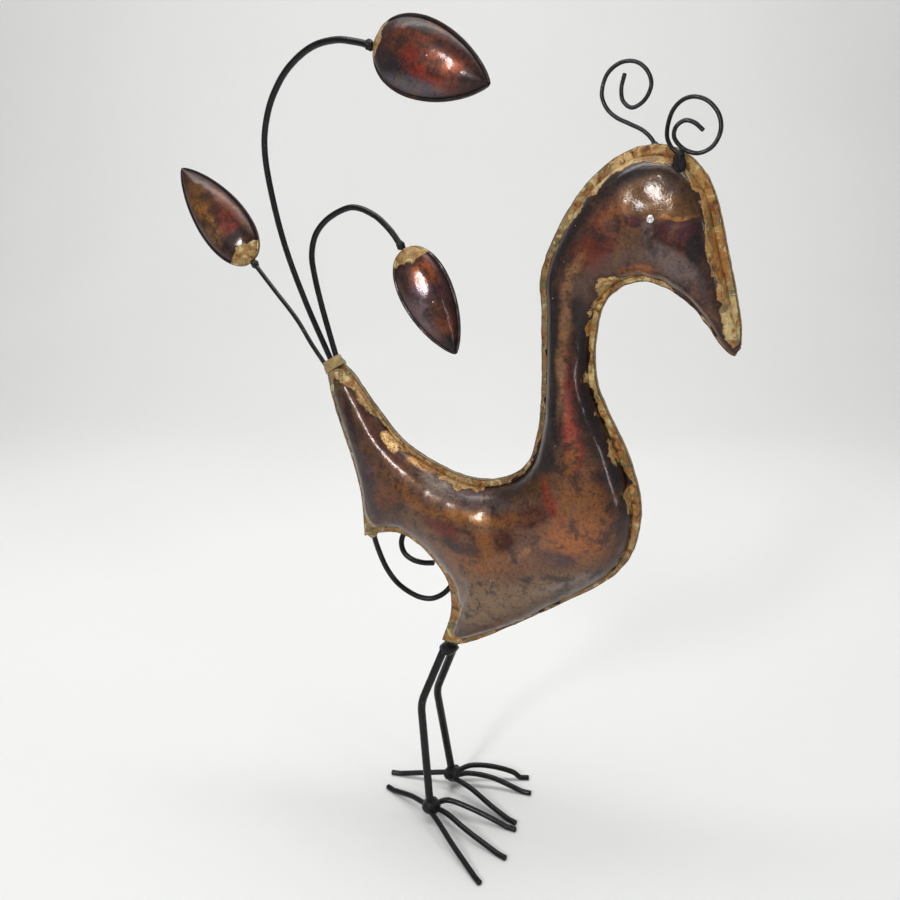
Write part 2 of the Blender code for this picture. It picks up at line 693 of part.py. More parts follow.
cap = bmesh.new()
bmesh.ops.create_cube(cap, size=1.0)
bmesh.ops.scale(cap, vec=(cap_width, cap_depth, cap_length), verts=cap.verts)
for corner in cap.verts:
    if corner.co.z > 0:
        corner.co.x *= 0.84
        corner.co.y *= 0.72
cap_axes = Matrix((tail_across, tail_along.cross(tail_across), tail_along)).transposed().to_4x4()
bmesh.ops.transform(cap, matrix=Matrix.Translation(cap_centre) @ cap_axes, verts=cap.verts)
tail_cap = mesh_piece("tail_cap", cap, bird, braze)
rounding = tail_cap.modifiers.new("rounding", "BEVEL")
rounding.width = 1.2 * MM
rounding.segments = 3

# Each tail wire: its root on the cap (across, sideways, down from the top), wire, route from the
# root (x, y, z), then the leaf: tip from the root, width, roll, base off the wire's end.
TAIL_WIRES = (
    (
        "straight",
        (6.4, 1.5, 3.4),
        THIN_STEM_WIRE,
        ((-11.9, 2.0, 13.0), (-25.2, 5.5, 28.2), (-43.6, 10.0, 44.4), (-61.0, 14.5, 59.6)),
        (-122.0, 22.8, 119.9),
        34.0,
        18.0,
        0.0,
    ),
    (
        "tall",
        (0.6, 0.0, 0.0),
        STEM_WIRE,
        (
            (-13.8, -4.0, 34.5),
            (-22.8, -10.0, 68.0),
            (-26.0, -17.0, 100.3),
            (-24.2, -23.0, 122.9),
            (-16.9, -28.0, 140.4),
            (-6.2, -32.0, 153.9),
            (6.1, -35.5, 163.1),
            (20.6, -38.5, 169.3),
            (35.7, -41.0, 170.8),
            (48.3, -43.0, 168.8),
            (57.0, -44.6, 166.5),
        ),
        (123.2, -48.0, 144.6),
        37.5,
        0.0,
        2.2,
    ),
    (
        "short",
        (-3.9, 0.0, 0.0),
        STEM_WIRE,
        (
            (-8.0, -1.0, 29.0),
            (-12.1, -2.0, 49.0),
            (-12.5, -3.0, 60.7),
            (-8.2, -4.0, 72.3),
            (2.0, -5.0, 81.4),
            (17.5, -6.0, 87.0),
            (31.7, -7.0, 83.2),
            (42.4, -8.0, 75.5),
            (50.0, -9.0, 67.0),
        ),
        (84.6, -9.5, 7.8),
        30.5,
        -16.0,
        1.6,
    ),
)
cap_top = cap_centre + tail_along * cap_length / 2
sockets = []

for label, seat, diameter, offsets, leaf_tip, leaf_width, roll, lift in TAIL_WIRES:
    across, sideways, down = seat
    surface = cap_top + tail_across * across + Vector((0.0, sideways, 0.0)) - tail_along * down
    root = surface - Vector(offsets[0]).normalized() * SOCKET
    hinge = bpy.data.objects.new("hinge_" + label, None)
    hinge.location = metres(root)
    hinge.parent = bird
    steel.objects.link(hinge)
    HINGES[hinge.name] = root
    knots = [root] + [surface + Vector(offset) for offset in offsets]
    route = through(knots, 2)
    wire("tail_wire_" + label, route, diameter, hinge, black_paint)
    room = wire_clearance("tail_wire_" + label, route, diameter, hinge)
    sockets.append(room)
    add_leaf("leaf_" + label, route[-1], surface + Vector(leaf_tip), leaf_width, roll, lift, hinge, room)
cut(tail_cap, *sockets)
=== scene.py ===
"""Visual model of the standing metal bird: flame-coloured sheet steel, brass braze and black wire.

Shapes are worked out in the bird's own frame in millimetres: x towards the beak, y to its left, z up
from the floor.  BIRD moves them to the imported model's frame and MM turns them into metres.
"""

import math

import bmesh
import bpy
import numpy as np
from mathutils import Matrix, Vector, noise


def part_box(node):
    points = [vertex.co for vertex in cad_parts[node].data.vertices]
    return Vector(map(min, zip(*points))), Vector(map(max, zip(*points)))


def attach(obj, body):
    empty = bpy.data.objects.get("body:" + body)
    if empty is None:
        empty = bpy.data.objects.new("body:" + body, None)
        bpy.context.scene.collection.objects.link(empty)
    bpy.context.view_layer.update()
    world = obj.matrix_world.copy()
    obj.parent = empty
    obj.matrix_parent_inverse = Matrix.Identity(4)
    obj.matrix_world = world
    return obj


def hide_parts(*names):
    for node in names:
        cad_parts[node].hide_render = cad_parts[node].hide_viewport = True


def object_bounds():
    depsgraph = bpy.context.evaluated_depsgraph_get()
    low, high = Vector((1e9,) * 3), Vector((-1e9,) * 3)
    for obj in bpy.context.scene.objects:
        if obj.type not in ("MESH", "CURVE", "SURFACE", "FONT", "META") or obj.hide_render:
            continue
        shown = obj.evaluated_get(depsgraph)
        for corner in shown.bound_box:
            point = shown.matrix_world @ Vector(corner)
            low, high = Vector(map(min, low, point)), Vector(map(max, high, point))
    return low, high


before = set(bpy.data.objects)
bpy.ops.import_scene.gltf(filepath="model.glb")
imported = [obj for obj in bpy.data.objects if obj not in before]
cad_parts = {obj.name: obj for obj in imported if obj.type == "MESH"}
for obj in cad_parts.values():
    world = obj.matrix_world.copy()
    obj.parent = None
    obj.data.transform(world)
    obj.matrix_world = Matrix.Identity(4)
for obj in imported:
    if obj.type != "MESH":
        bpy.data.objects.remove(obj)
cad_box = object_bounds()

MM = 0.001
shell_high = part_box("body_shell_right")[1]
seam_low, seam_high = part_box("seam_back")
BEAK_TIP_X = 164.8
BIRD = Vector((shell_high.x / MM - BEAK_TIP_X, (seam_low.y + seam_high.y) / 2 / MM, 0.0))


def to_frame(point):
    return (Vector(point) + BIRD) * MM


# ---------------------------------------------------------------- design sizes, as in the CAD

SHEET = 0.8
LEAF_SHEET = 0.6
LEG_ROD = 5.0
THICK_WIRE = 3.5
THIN_WIRE = 2.8
CREST_WIRE = 2.1
GAP = 0.3
RIM_INSIDE = 0.9
LEG_HEIGHT = 119.0
BELLY_X = 1.0
RIBS = (
    (-65.5, 167.5, -76.8, 161.0, 3.0),
    (-59.0, 162.0, -74.5, 149.0, 4.6),
    (-52.5, 153.8, -70.3, 135.0, 6.5),
    (-45.5, 145.0, -65.0, 120.5, 8.5),
    (-37.0, 135.3, -59.0, 102.5, 10.5),
    (-27.5, 125.5, -55.0, 85.0, 12.5),
    (-15.5, 118.0, -53.5, 60.0, 13.5),
    (-8.0, 114.5, -43.0, 63.5, 14.5),
    (-1.5, 112.0, -29.0, 65.6, 15.5),
    (5.5, 109.6, -16.0, 60.6, 16.5),
    (12.0, 108.0, -5.0, 51.5, 17.2),
    (18.0, 107.1, 4.5, 38.5, 18.0),
    (24.0, 106.8, 6.5, 20.0, 18.5),
    (30.0, 107.3, 0.5, 0.0, 19.0),
    (34.5, 108.2, 9.5, -1.3, 19.0),
    (38.5, 109.4, 21.2, 3.1, 19.3),
    (42.0, 110.8, 44.0, 17.0, 19.5),
    (45.5, 112.6, 70.5, 34.7, 19.5),
    (49.5, 115.4, 95.5, 52.0, 19.3),
    (53.0, 119.3, 108.5, 64.0, 19.0),
    (56.0, 124.5, 116.5, 78.5, 18.5),
    (58.0, 131.5, 119.3, 98.0, 17.5),
    (59.6, 140.0, 116.5, 115.5, 16.0),
    (60.8, 151.0, 109.0, 134.5, 14.0),
    (61.0, 164.0, 99.5, 152.0, 12.0),
    (60.7, 178.0, 91.8, 169.0, 10.3),
    (60.3, 193.0, 90.0, 187.0, 9.3),
    (59.8, 208.0, 91.0, 202.0, 9.2),
    (58.6, 220.0, 95.0, 213.0, 9.6),
    (60.5, 231.5, 101.5, 219.3, 10.4),
    (65.5, 244.0, 108.0, 222.3, 11.2),
    (74.0, 260.5, 114.5, 223.3, 12.0),
    (85.5, 274.5, 120.0, 222.3, 12.6),
    (100.5, 285.7, 125.0, 220.7, 13.0),
    (117.5, 289.3, 130.0, 217.8, 13.0),
    (131.5, 284.6, 135.0, 214.8, 12.5),
    (142.5, 273.0, 140.0, 210.5, 11.3),
    (148.8, 258.0, 145.0, 205.0, 9.8),
    (153.5, 241.0, 149.5, 199.5, 8.0),
    (158.3, 223.5, 154.0, 193.5, 6.0),
    (162.5, 206.0, 158.5, 189.3, 4.0),
    (163.8, 194.0, 161.5, 188.0, 2.0),
)
TAIL_CORNER = 6
BELLY_CORNER = 13
UPPER_RIM = ((0, 2.2), (6, 3.5), (14, 4.5), (24, 4.0), (30, 4.5), (35, 6.5), (41, 2.5))
LOWER_RIM = ((0, 2.0), (6, 4.5), (10, 3.5), (13, 7.0), (16, 1.8), (19, 3.5), (22, 6.0), (26, 4.0),
             (33, 3.0), (41, 1.5))
BOW = ((0, 0.0), (5, 0.0), (8, 5.0), (11, 12.0), (13, 16.0), (15, 13.0), (18, 4.0), (21, 0.0), (41, 0.0))
SHOULDER = 8.0
SHOULDER_RISE = 7.5
RIDGE = 0.46
LEAF_BULGE = 7.5
LEAF_RIM = 2.2

# Width of the gold heat colour along the two edges, by rib, and its tint.
GOLD_UPPER = (
    (0, 9), (1, 6), (2, 3), (4, 3.5), (7, 4), (10, 5), (14, 4), (18, 2.5), (22, 3), (27, 4),
    (30, 5.5), (32, 9), (34, 9.5), (35, 8.5), (37, 10), (39, 7), (40.3, 5), (41, -2),
)
GOLD_LOWER = (
    (0, 9), (1, 4), (2, 1.5), (5, 3.5), (6, 9), (7, 3.5), (9, 4), (11, 4.5), (12, 7), (13, 13),
    (14, 8), (15, 4), (16, 1.5), (18, 3), (20, 4), (20.8, 5), (21.3, 7.5), (21.7, 7), (22, 2.5),
    (22.4, 6), (22.9, 8), (23.3, 4.5), (23.8, 4.5), (24.3, 5), (24.7, 2.0), (25.0, 6), (25.4, 5),
    (25.8, 1.5), (26.5, 4), (28, 6), (29.5, 7), (31, 4), (32, 2), (36, 0.5), (41, 3),
)
TINT_UPPER = (
    (0, (0.24, 0.18, 0.07)), (2, (0.5, 0.3, 0.12)), (6, (0.6, 0.37, 0.15)),
    (12, (0.42, 0.26, 0.11)), (16, (0.22, 0.12, 0.05)), (22, (0.2, 0.12, 0.05)),
    (28, (0.26, 0.18, 0.07)), (31, (0.36, 0.24, 0.09)), (33, (0.68, 0.46, 0.2)),
    (35, (0.5, 0.3, 0.08)), (38, (0.4, 0.17, 0.03)), (40, (0.62, 0.5, 0.24)),
    (41, (0.3, 0.24, 0.14)),
)
TINT_LOWER = (
    (0, (0.24, 0.18, 0.07)), (3, (0.24, 0.2, 0.1)), (6, (0.34, 0.28, 0.13)),
    (9, (0.36, 0.2, 0.09)), (12, (0.38, 0.2, 0.08)), (13, (0.4, 0.3, 0.1)),
    (15, (0.34, 0.2, 0.08)), (19, (0.34, 0.2, 0.09)), (22, (0.5, 0.3, 0.09)),
    (26, (0.45, 0.28, 0.09)), (29, (0.66, 0.42, 0.14)), (32, (0.4, 0.25, 0.1)),
    (41, (0.3, 0.24, 0.14)),
)
# Strength of the dark heat band just inside the gold.
BAND_UPPER = (
    (0, 0.1), (3, 0.3), (8, 0.3), (14, 0.5), (18, 0.9), (27, 0.9), (31, 0.95), (34, 0.6),
    (36, 0.3), (39, 0.5), (41, 0.2),
)
BAND_LOWER = (
    (0, 0.3), (4, 0.8), (7, 0.5), (12, 0.2), (15, 0.1), (18, 0.5), (22, 0.8), (26, 0.9), (29, 0.2),
    (33, 0.1), (41, 0.1),
)

# Heat colours of the steel, from soot to bare gold, and a pale tone painted as the highlight along the
# dome's ridge.
SOOT = (0.012, 0.007, 0.008)
CHAR = (0.03, 0.014, 0.012)
WINE = (0.038, 0.007, 0.009)
MAROON = (0.055, 0.012, 0.01)
PLUM = (0.065, 0.035, 0.035)
CRIMSON = (0.19, 0.038, 0.024)
BRICK = (0.11, 0.024, 0.015)
RUST = (0.14, 0.05, 0.022)
UMBER = (0.12, 0.054, 0.038)
OLIVE = (0.1, 0.05, 0.02)
OCHRE = (0.2, 0.085, 0.04)
COPPER = (0.28, 0.11, 0.052)
AMBER = (0.23, 0.11, 0.036)
RIDGE_HIGHLIGHT = (0.24, 0.13, 0.076)
FAWN = (0.185, 0.12, 0.078)
PEARL = (0.23, 0.18, 0.15)
PEWTER = (0.125, 0.09, 0.083)
BRONZE = (0.24, 0.18, 0.075)
BRASS = (0.51, 0.325, 0.135)
PALE_GOLD = (0.8, 0.5, 0.2)
OLD_GOLD = (0.45, 0.22, 0.07)
# Patches of colour on the body, mostly heat colour, some of them painted highlight along the dome's ridge
# and painted shade on the neck's flanks: x, z, half length, half height, turn, softness, colour.
BODY_PATCHES = (
    (105, 217, 26, 26, 0, 0.9, OCHRE),
    (88, 205, 18, 12, 20, 0.9, COPPER),
    (34, 184, 22, 12, 0, 0.9, OCHRE),
    (34, 156, 24, 17, 0, 0.9, FAWN),
    (66, 168, 40, 9, 22, 0.9, FAWN),
    (88, 177, 22, 4, 26, 0.8, PEARL),
    (123, 384, 26, 16, 0, 0.8, OLIVE),
    (108, 396, 11, 6, 15, 0.5, CHAR),
    (96, 374, 13, 10, 30, 0.8, RUST),
    (92, 358, 13, 9, 30, 0.8, BRICK),
    (134, 366, 15, 8, 0, 0.35, WINE),
    (131, 373.6, 15, 1.1, 0, 0.6, AMBER),
    (113, 372, 5, 3.5, 0, 0.5, WINE),
    (118.5, 367, 2.6, 5, 0, 0.6, PEWTER),
    (142, 357, 5, 11, 0, 0.5, SOOT),
    (134, 350, 18, 6, -36, 0.7, PEWTER),
    (113, 347, 9, 3, 5, 0.35, COPPER),
    (149, 332, 18, 4, -50, 0.6, UMBER),
    # Down the neck the stripes paint its light. On the ridge, pale, ochre and crimson stripes are painted
    # highlight over the steel's own reds. The char and soot stripes on either flank are painted shade.
    (70, 322, 4.5, 32, 4, 0.6, CHAR),
    (81, 344, 3, 13, -28, 0.8, RIDGE_HIGHLIGHT),
    (77, 322, 3, 20, -4, 0.8, RIDGE_HIGHLIGHT),
    (78, 298, 3.4, 16, 0, 0.8, OCHRE),
    (85, 316, 3.5, 22, 2, 0.6, CHAR),
    (81, 284, 5, 17, 4, 0.7, CRIMSON),
    (84, 262, 5, 16, 6, 0.7, CRIMSON),
    (74, 268, 7, 17, 0, 0.6, SOOT),
    (69, 247, 7, 8, 25, 0.6, SOOT),
    (94, 274, 5, 12, -20, 0.6, CHAR),
    (87, 254, 5, 12, 0, 0.9, CRIMSON),
    (85, 248, 3.6, 11, -4, 0.9, OCHRE),
    (104, 241, 8, 5, 0, 0.6, CHAR),
    (66, 231, 10, 6, 10, 0.8, OLIVE),
    (76, 226, 4, 13, 28, 0.6, CRIMSON),
    (64, 213, 13, 6, 20, 0.6, MAROON),
    (84, 226, 3.4, 12, -14, 0.9, OCHRE),
    (81, 193, 9, 5, -8, 0.8, PLUM),
    # Painted highlight along the ridge of the breast.
    (66, 195, 15, 1.8, 34, 0.9, RIDGE_HIGHLIGHT),
    (48, 197, 8, 7, 0, 0.6, MAROON),
    (50, 209, 12, 4, 14, 0.9, OCHRE),
    (33, 216, 22, 5, 4, 0.7, PEWTER),
    (3, 221, 12, 5, -28, 0.8, PEARL),
    (22, 206, 24, 3.2, -2, 0.9, AMBER),
    (-46, 258, 3.5, 18, 33, 0.6, UMBER),
    (-28, 236, 4.5, 14, 48, 0.6, UMBER),
    (-54, 250, 3.6, 22, 18, 0.6, CHAR),
    (-42, 218, 6, 20, 16, 0.6, PLUM),
    (-28, 210, 10, 8, 20, 0.8, RUST),
    (-12, 213, 13, 4, -30, 0.9, OCHRE),
    (10, 198, 13, 4, -20, 0.7, BRICK),
    (18, 191, 11, 4, -10, 0.6, CHAR),
    (33, 195, 7, 5, 10, 0.9, OCHRE),
    (-67, 281, 9, 9, 0, 0.5, BRONZE),
    (158, 306, 8, 5, 0, 0.5, CHAR),
    # Painted highlight down the middle of the neck's ridge.
    (76, 300, 2.2, 30, 1, 0.9, RIDGE_HIGHLIGHT),
)
# Bare gold patches near the back edge of the tail, with sharper sides.
BODY_GOLD = (
    (-50, 267, 2.4, 9, 40, 0.3, BRASS),
    (-31, 243, 2.4, 7.5, 45, 0.25, PALE_GOLD),
    (-10, 231, 2.2, 10, 68, 0.4, OLD_GOLD),
    (12, 224, 2.6, 9, 80, 0.4, BRASS),
)

# ---------------------------------------------------------------- curves and wires


def spline(points, wheres, corners=()):
    """Points on a smooth line through the given ones, which breaks only at the corners."""
    rows = [np.array(point, dtype=float) for point in points]
    last = len(rows) - 1
    samples = []
    for where in wheres:
        index = min(int(where), last - 1)
        t = where - index
        start = rows[index]
        end = rows[index + 1]
        before = rows[index - 1] if index > 0 and index not in corners else 2 * start - end
        after = rows[index + 2] if index + 1 < last and index + 1 not in corners else 2 * end - start
        line = 2 * start + (end - before) * t
        line = line + (2 * before - 5 * start + 4 * end - after) * t**2
        line = line + (3 * start - before - 3 * end + after) * t**3
        samples.append(line / 2)
    return samples


def through(points, steps):
    return spline(points, [index / steps for index in range((len(points) - 1) * steps + 1)])


def bent_rod(points, bend, arc_steps=12):
    corners = [Vector(point) for point in points]
    path = [corners[0]]
    for before, corner, after in zip(corners, corners[1:], corners[2:]):
        entry = corner + (before - corner).normalized() * bend
        leave = corner + (after - corner).normalized() * bend
        for step in range(arc_steps + 1):
            t = step / arc_steps
            path.append(entry * (1 - t) ** 2 + corner * 2 * t * (1 - t) + leave * t**2)
    path.append(corners[-1])
    return path


def evenly(points, spacing):
    """The same route with points this far apart."""
    route = [Vector(point) for point in points]
    lengths = np.cumsum([0.0] + [(b - a).length for a, b in zip(route, route[1:])])
    count = max(2, int(round(lengths[-1] / spacing)))
    stations = np.linspace(0.0, lengths[-1], count + 1)
    columns = [np.interp(stations, lengths, [point[axis] for point in route]) for axis in range(3)]
    return [Vector(point) for point in zip(*columns)]


def keyed(keys, where):
    """The value, or colour, between the keys on either side."""
    stations = [key[0] for key in keys]
    if isinstance(keys[0][1], tuple):
        return tuple(float(np.interp(where, stations, [key[1][part] for key in keys])) for part in range(3))
    return float(np.interp(where, stations, [key[1] for key in keys]))


def finish_piece(obj, body, slot, *nodes):
    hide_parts(*nodes)
    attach(obj, body)
    return obj


def add_mesh(name, shape, material):
    mesh = bpy.data.meshes.new(name)
    for vertex in shape.verts:
        vertex.co = to_frame(vertex.co)
    shape.to_mesh(mesh)
    shape.free()
    mesh.shade_smooth()
    mesh.materials.append(material)
    obj = bpy.data.objects.new(name, mesh)
    bpy.context.scene.collection.objects.link(obj)
    return obj


def tube(name, points, diameter, material, spacing, sides, seed, unevenness):
    """A drawn wire: round, very slightly uneven, with its cut ends chamfered."""
    route = evenly(points, spacing)
    shape = bmesh.new()
    tangents = [(b - a).normalized() for a, b in zip([route[0]] + route[:-1], route[1:] + [route[-1]])]
    up = Vector((0.0, 1.0, 0.0)) if abs(tangents[0].y) < 0.9 else Vector((1.0, 0.0, 0.0))
    across = tangents[0].cross(up).normalized()
    rings = []
    last = len(route) - 1
    chamfer = 0.14 * diameter
    stations = [(0, chamfer)] + [(index, 0.0) for index in range(last + 1)] + [(last, chamfer)]
    for index, inset in stations:
        tangent = tangents[index]
        across = (across - tangent * across.dot(tangent)).normalized()
        over = tangent.cross(across)
        centre = route[index].copy()
        if inset == 0.0 and index == 0:
            centre += tangent * chamfer
        if inset == 0.0 and index == last:
            centre -= tangent * chamfer
        radius = diameter / 2 - inset
        ring = []
        for side in range(sides):
            angle = 2 * math.pi * side / sides
            direction = across * math.cos(angle) + over * math.sin(angle)
            uneven = noise.noise(centre * 0.23 + direction * 0.8 + Vector((seed, 0.0, 0.0)))
            ring.append(shape.verts.new(centre + direction * radius * (1.0 + unevenness * uneven)))
        rings.append(ring)
    for ring, after in zip(rings, rings[1:]):
        for side in range(sides):
            following = (side + 1) % sides
            shape.faces.new((ring[side], ring[following], after[following], after[side]))
    shape.faces.new(list(reversed(rings[0])))
    shape.faces.new(rings[-1])
    bmesh.ops.recalc_face_normals(shape, faces=shape.faces)
    obj = add_mesh(name, shape, material)
    obj.data.set_sharp_from_angle(angle=math.radians(50.0))
    return obj


def lump(name, centre, radii, material, seed, roughness=0.16):
    """A lump of weld metal: an uneven blob with ripples."""
    shape = bmesh.new()
    bmesh.ops.create_icosphere(shape, subdivisions=4, radius=1.0)
    for vertex in shape.verts:
        direction = vertex.co.normalized()
        spot = direction * 1.6 + Vector((seed, 2.0 * seed, -seed))
        swell = noise.noise(spot) * roughness * 1.6 + noise.noise(spot * 3.1) * roughness * 0.6
        swell += noise.noise(spot * 8.0) * roughness * 0.2
        vertex.co = [centre[axis] + radii[axis] * (1.0 + swell) * direction[axis] for axis in range(3)]
    return add_mesh(name, shape, material)


# ---------------------------------------------------------------- materials


PATCH_DEPTH = 10000.0


class Tree:
    """Builds a material's nodes one after the other."""

    def __init__(self, name):
        self.material = bpy.data.materials.new(name)
        self.material.use_nodes = True
        self.nodes = self.material.node_tree.nodes
        self.links = self.material.node_tree.links
        self.shader = self.nodes["Principled BSDF"]

    def node(self, kind, **settings):
        made = self.nodes.new(kind)
        for key, value in settings.items():
            setattr(made, key, value)
        return made

    def feed(self, socket, value):
        if isinstance(value, bpy.types.NodeSocket):
            self.links.new(value, socket)
        elif value is not None:
            socket.default_value = value

    def math(self, operation, first, second=None, third=None, clamp=False):
        made = self.node("ShaderNodeMath", operation=operation, use_clamp=clamp)
        for socket, value in zip(made.inputs, (first, second, third)):
            self.feed(socket, value)
        return made.outputs[0]

    def vector(self, operation, first, second=None, scale=None):
        made = self.node("ShaderNodeVectorMath", operation=operation)
        self.feed(made.inputs[0], first)
        if second is not None:
            self.feed(made.inputs[1], second)
        if scale is not None:
            self.feed(made.inputs["Scale"], scale)
        return made.outputs["Value" if operation == "LENGTH" else "Vector"]

    def noise(self, place, scale, detail=3.0, roughness=0.5, distortion=0.0):
        made = self.node("ShaderNodeTexNoise")
        self.feed(made.inputs["Vector"], place)
        self.feed(made.inputs["Scale"], scale)
        self.feed(made.inputs["Detail"], detail)
        self.feed(made.inputs["Roughness"], roughness)
        self.feed(made.inputs["Distortion"], distortion)
        return made

    def ramp(self, value, low, high, out_low=0.0, out_high=1.0, smooth=True):
        made = self.node("ShaderNodeMapRange", interpolation_type="SMOOTHSTEP" if smooth else "LINEAR")
        for socket, number in zip(made.inputs[:5], (value, low, high, out_low, out_high)):
            self.feed(socket, number)
        return made.outputs[0]

    def mix(self, factor, first, second, blend="MIX"):
        made = self.node("ShaderNodeMix", data_type="RGBA", blend_type=blend)
        self.feed(made.inputs[0], factor)
        for socket, value in ((made.inputs[6], first), (made.inputs[7], second)):
            self.feed(socket, (*value, 1.0) if isinstance(value, tuple) and len(value) == 3 else value)
        return made.outputs[2]

    def grey(self, value):
        made = self.node("ShaderNodeCombineColor")
        for socket in made.inputs:
            self.feed(socket, value)
        return made.outputs[0]

    def attribute(self, name, kind="Fac"):
        return self.node("ShaderNodeAttribute", attribute_name=name).outputs[kind]

    def stain(self, colour, cloud, tone, low, high, strength):
        """Lays a tone over the colour where a noise runs from low to high."""
        return self.mix(self.ramp(cloud.outputs["Fac"], low, high, 0.0, strength), colour, tone)

    def surface(self, **inputs):
        """Sets the shader's inputs; a long name is written with underscores."""
        for name, value in inputs.items():
            self.feed(self.shader.inputs[name.replace("_", " ")], value)

    def bump(self, height, distance):
        made = self.node("ShaderNodeBump")
        self.feed(made.inputs["Height"], height)
        self.feed(made.inputs["Distance"], distance)
        made.inputs["Strength"].default_value = 1.0
        return made.outputs["Normal"]

    def patch(self, place, colour, x, z, half_length, half_height, turn, softness, tone):
        """Paints one soft-edged oval of colour, the same right through the body: mostly heat colour, in
        places painted highlight and painted shade.
        """
        oval = self.node("ShaderNodeMapping", vector_type="TEXTURE")
        self.feed(oval.inputs["Vector"], place)
        oval.inputs["Location"].default_value = (x, 0.0, z)
        oval.inputs["Rotation"].default_value = (0.0, -math.radians(turn), 0.0)
        oval.inputs["Scale"].default_value = (half_length, PATCH_DEPTH, half_height)
        reach = self.vector("LENGTH", oval.outputs["Vector"])
        inside = self.ramp(reach, 1.0 + 0.6 * softness, 1.0 - 0.8 * softness)
        return self.mix(inside, colour, tone)


def specks(tree, place, scale, size, share):
    """A mask of sparse round specks: cells per millimetre, radius in cells, share of cells with one."""
    cells = tree.node("ShaderNodeTexVoronoi")
    tree.feed(cells.inputs["Vector"], place)
    tree.feed(cells.inputs["Scale"], scale)
    chosen = tree.node("ShaderNodeSeparateColor")
    tree.feed(chosen.inputs[0], cells.outputs["Color"])
    kept = tree.math("LESS_THAN", chosen.outputs[0], share)
    reach = tree.math("MULTIPLY", chosen.outputs[1], size)
    dot = tree.math("LESS_THAN", cells.outputs["Distance"], reach)
    return tree.math("MULTIPLY", kept, dot)


def vivid(tone, amount=1.3):
    """The same brightness with a stronger colour."""
    level = 0.3 * tone[0] + 0.6 * tone[1] + 0.1 * tone[2]
    return tuple(max(0.12 * level, level + (part - level) * amount) for part in tone)


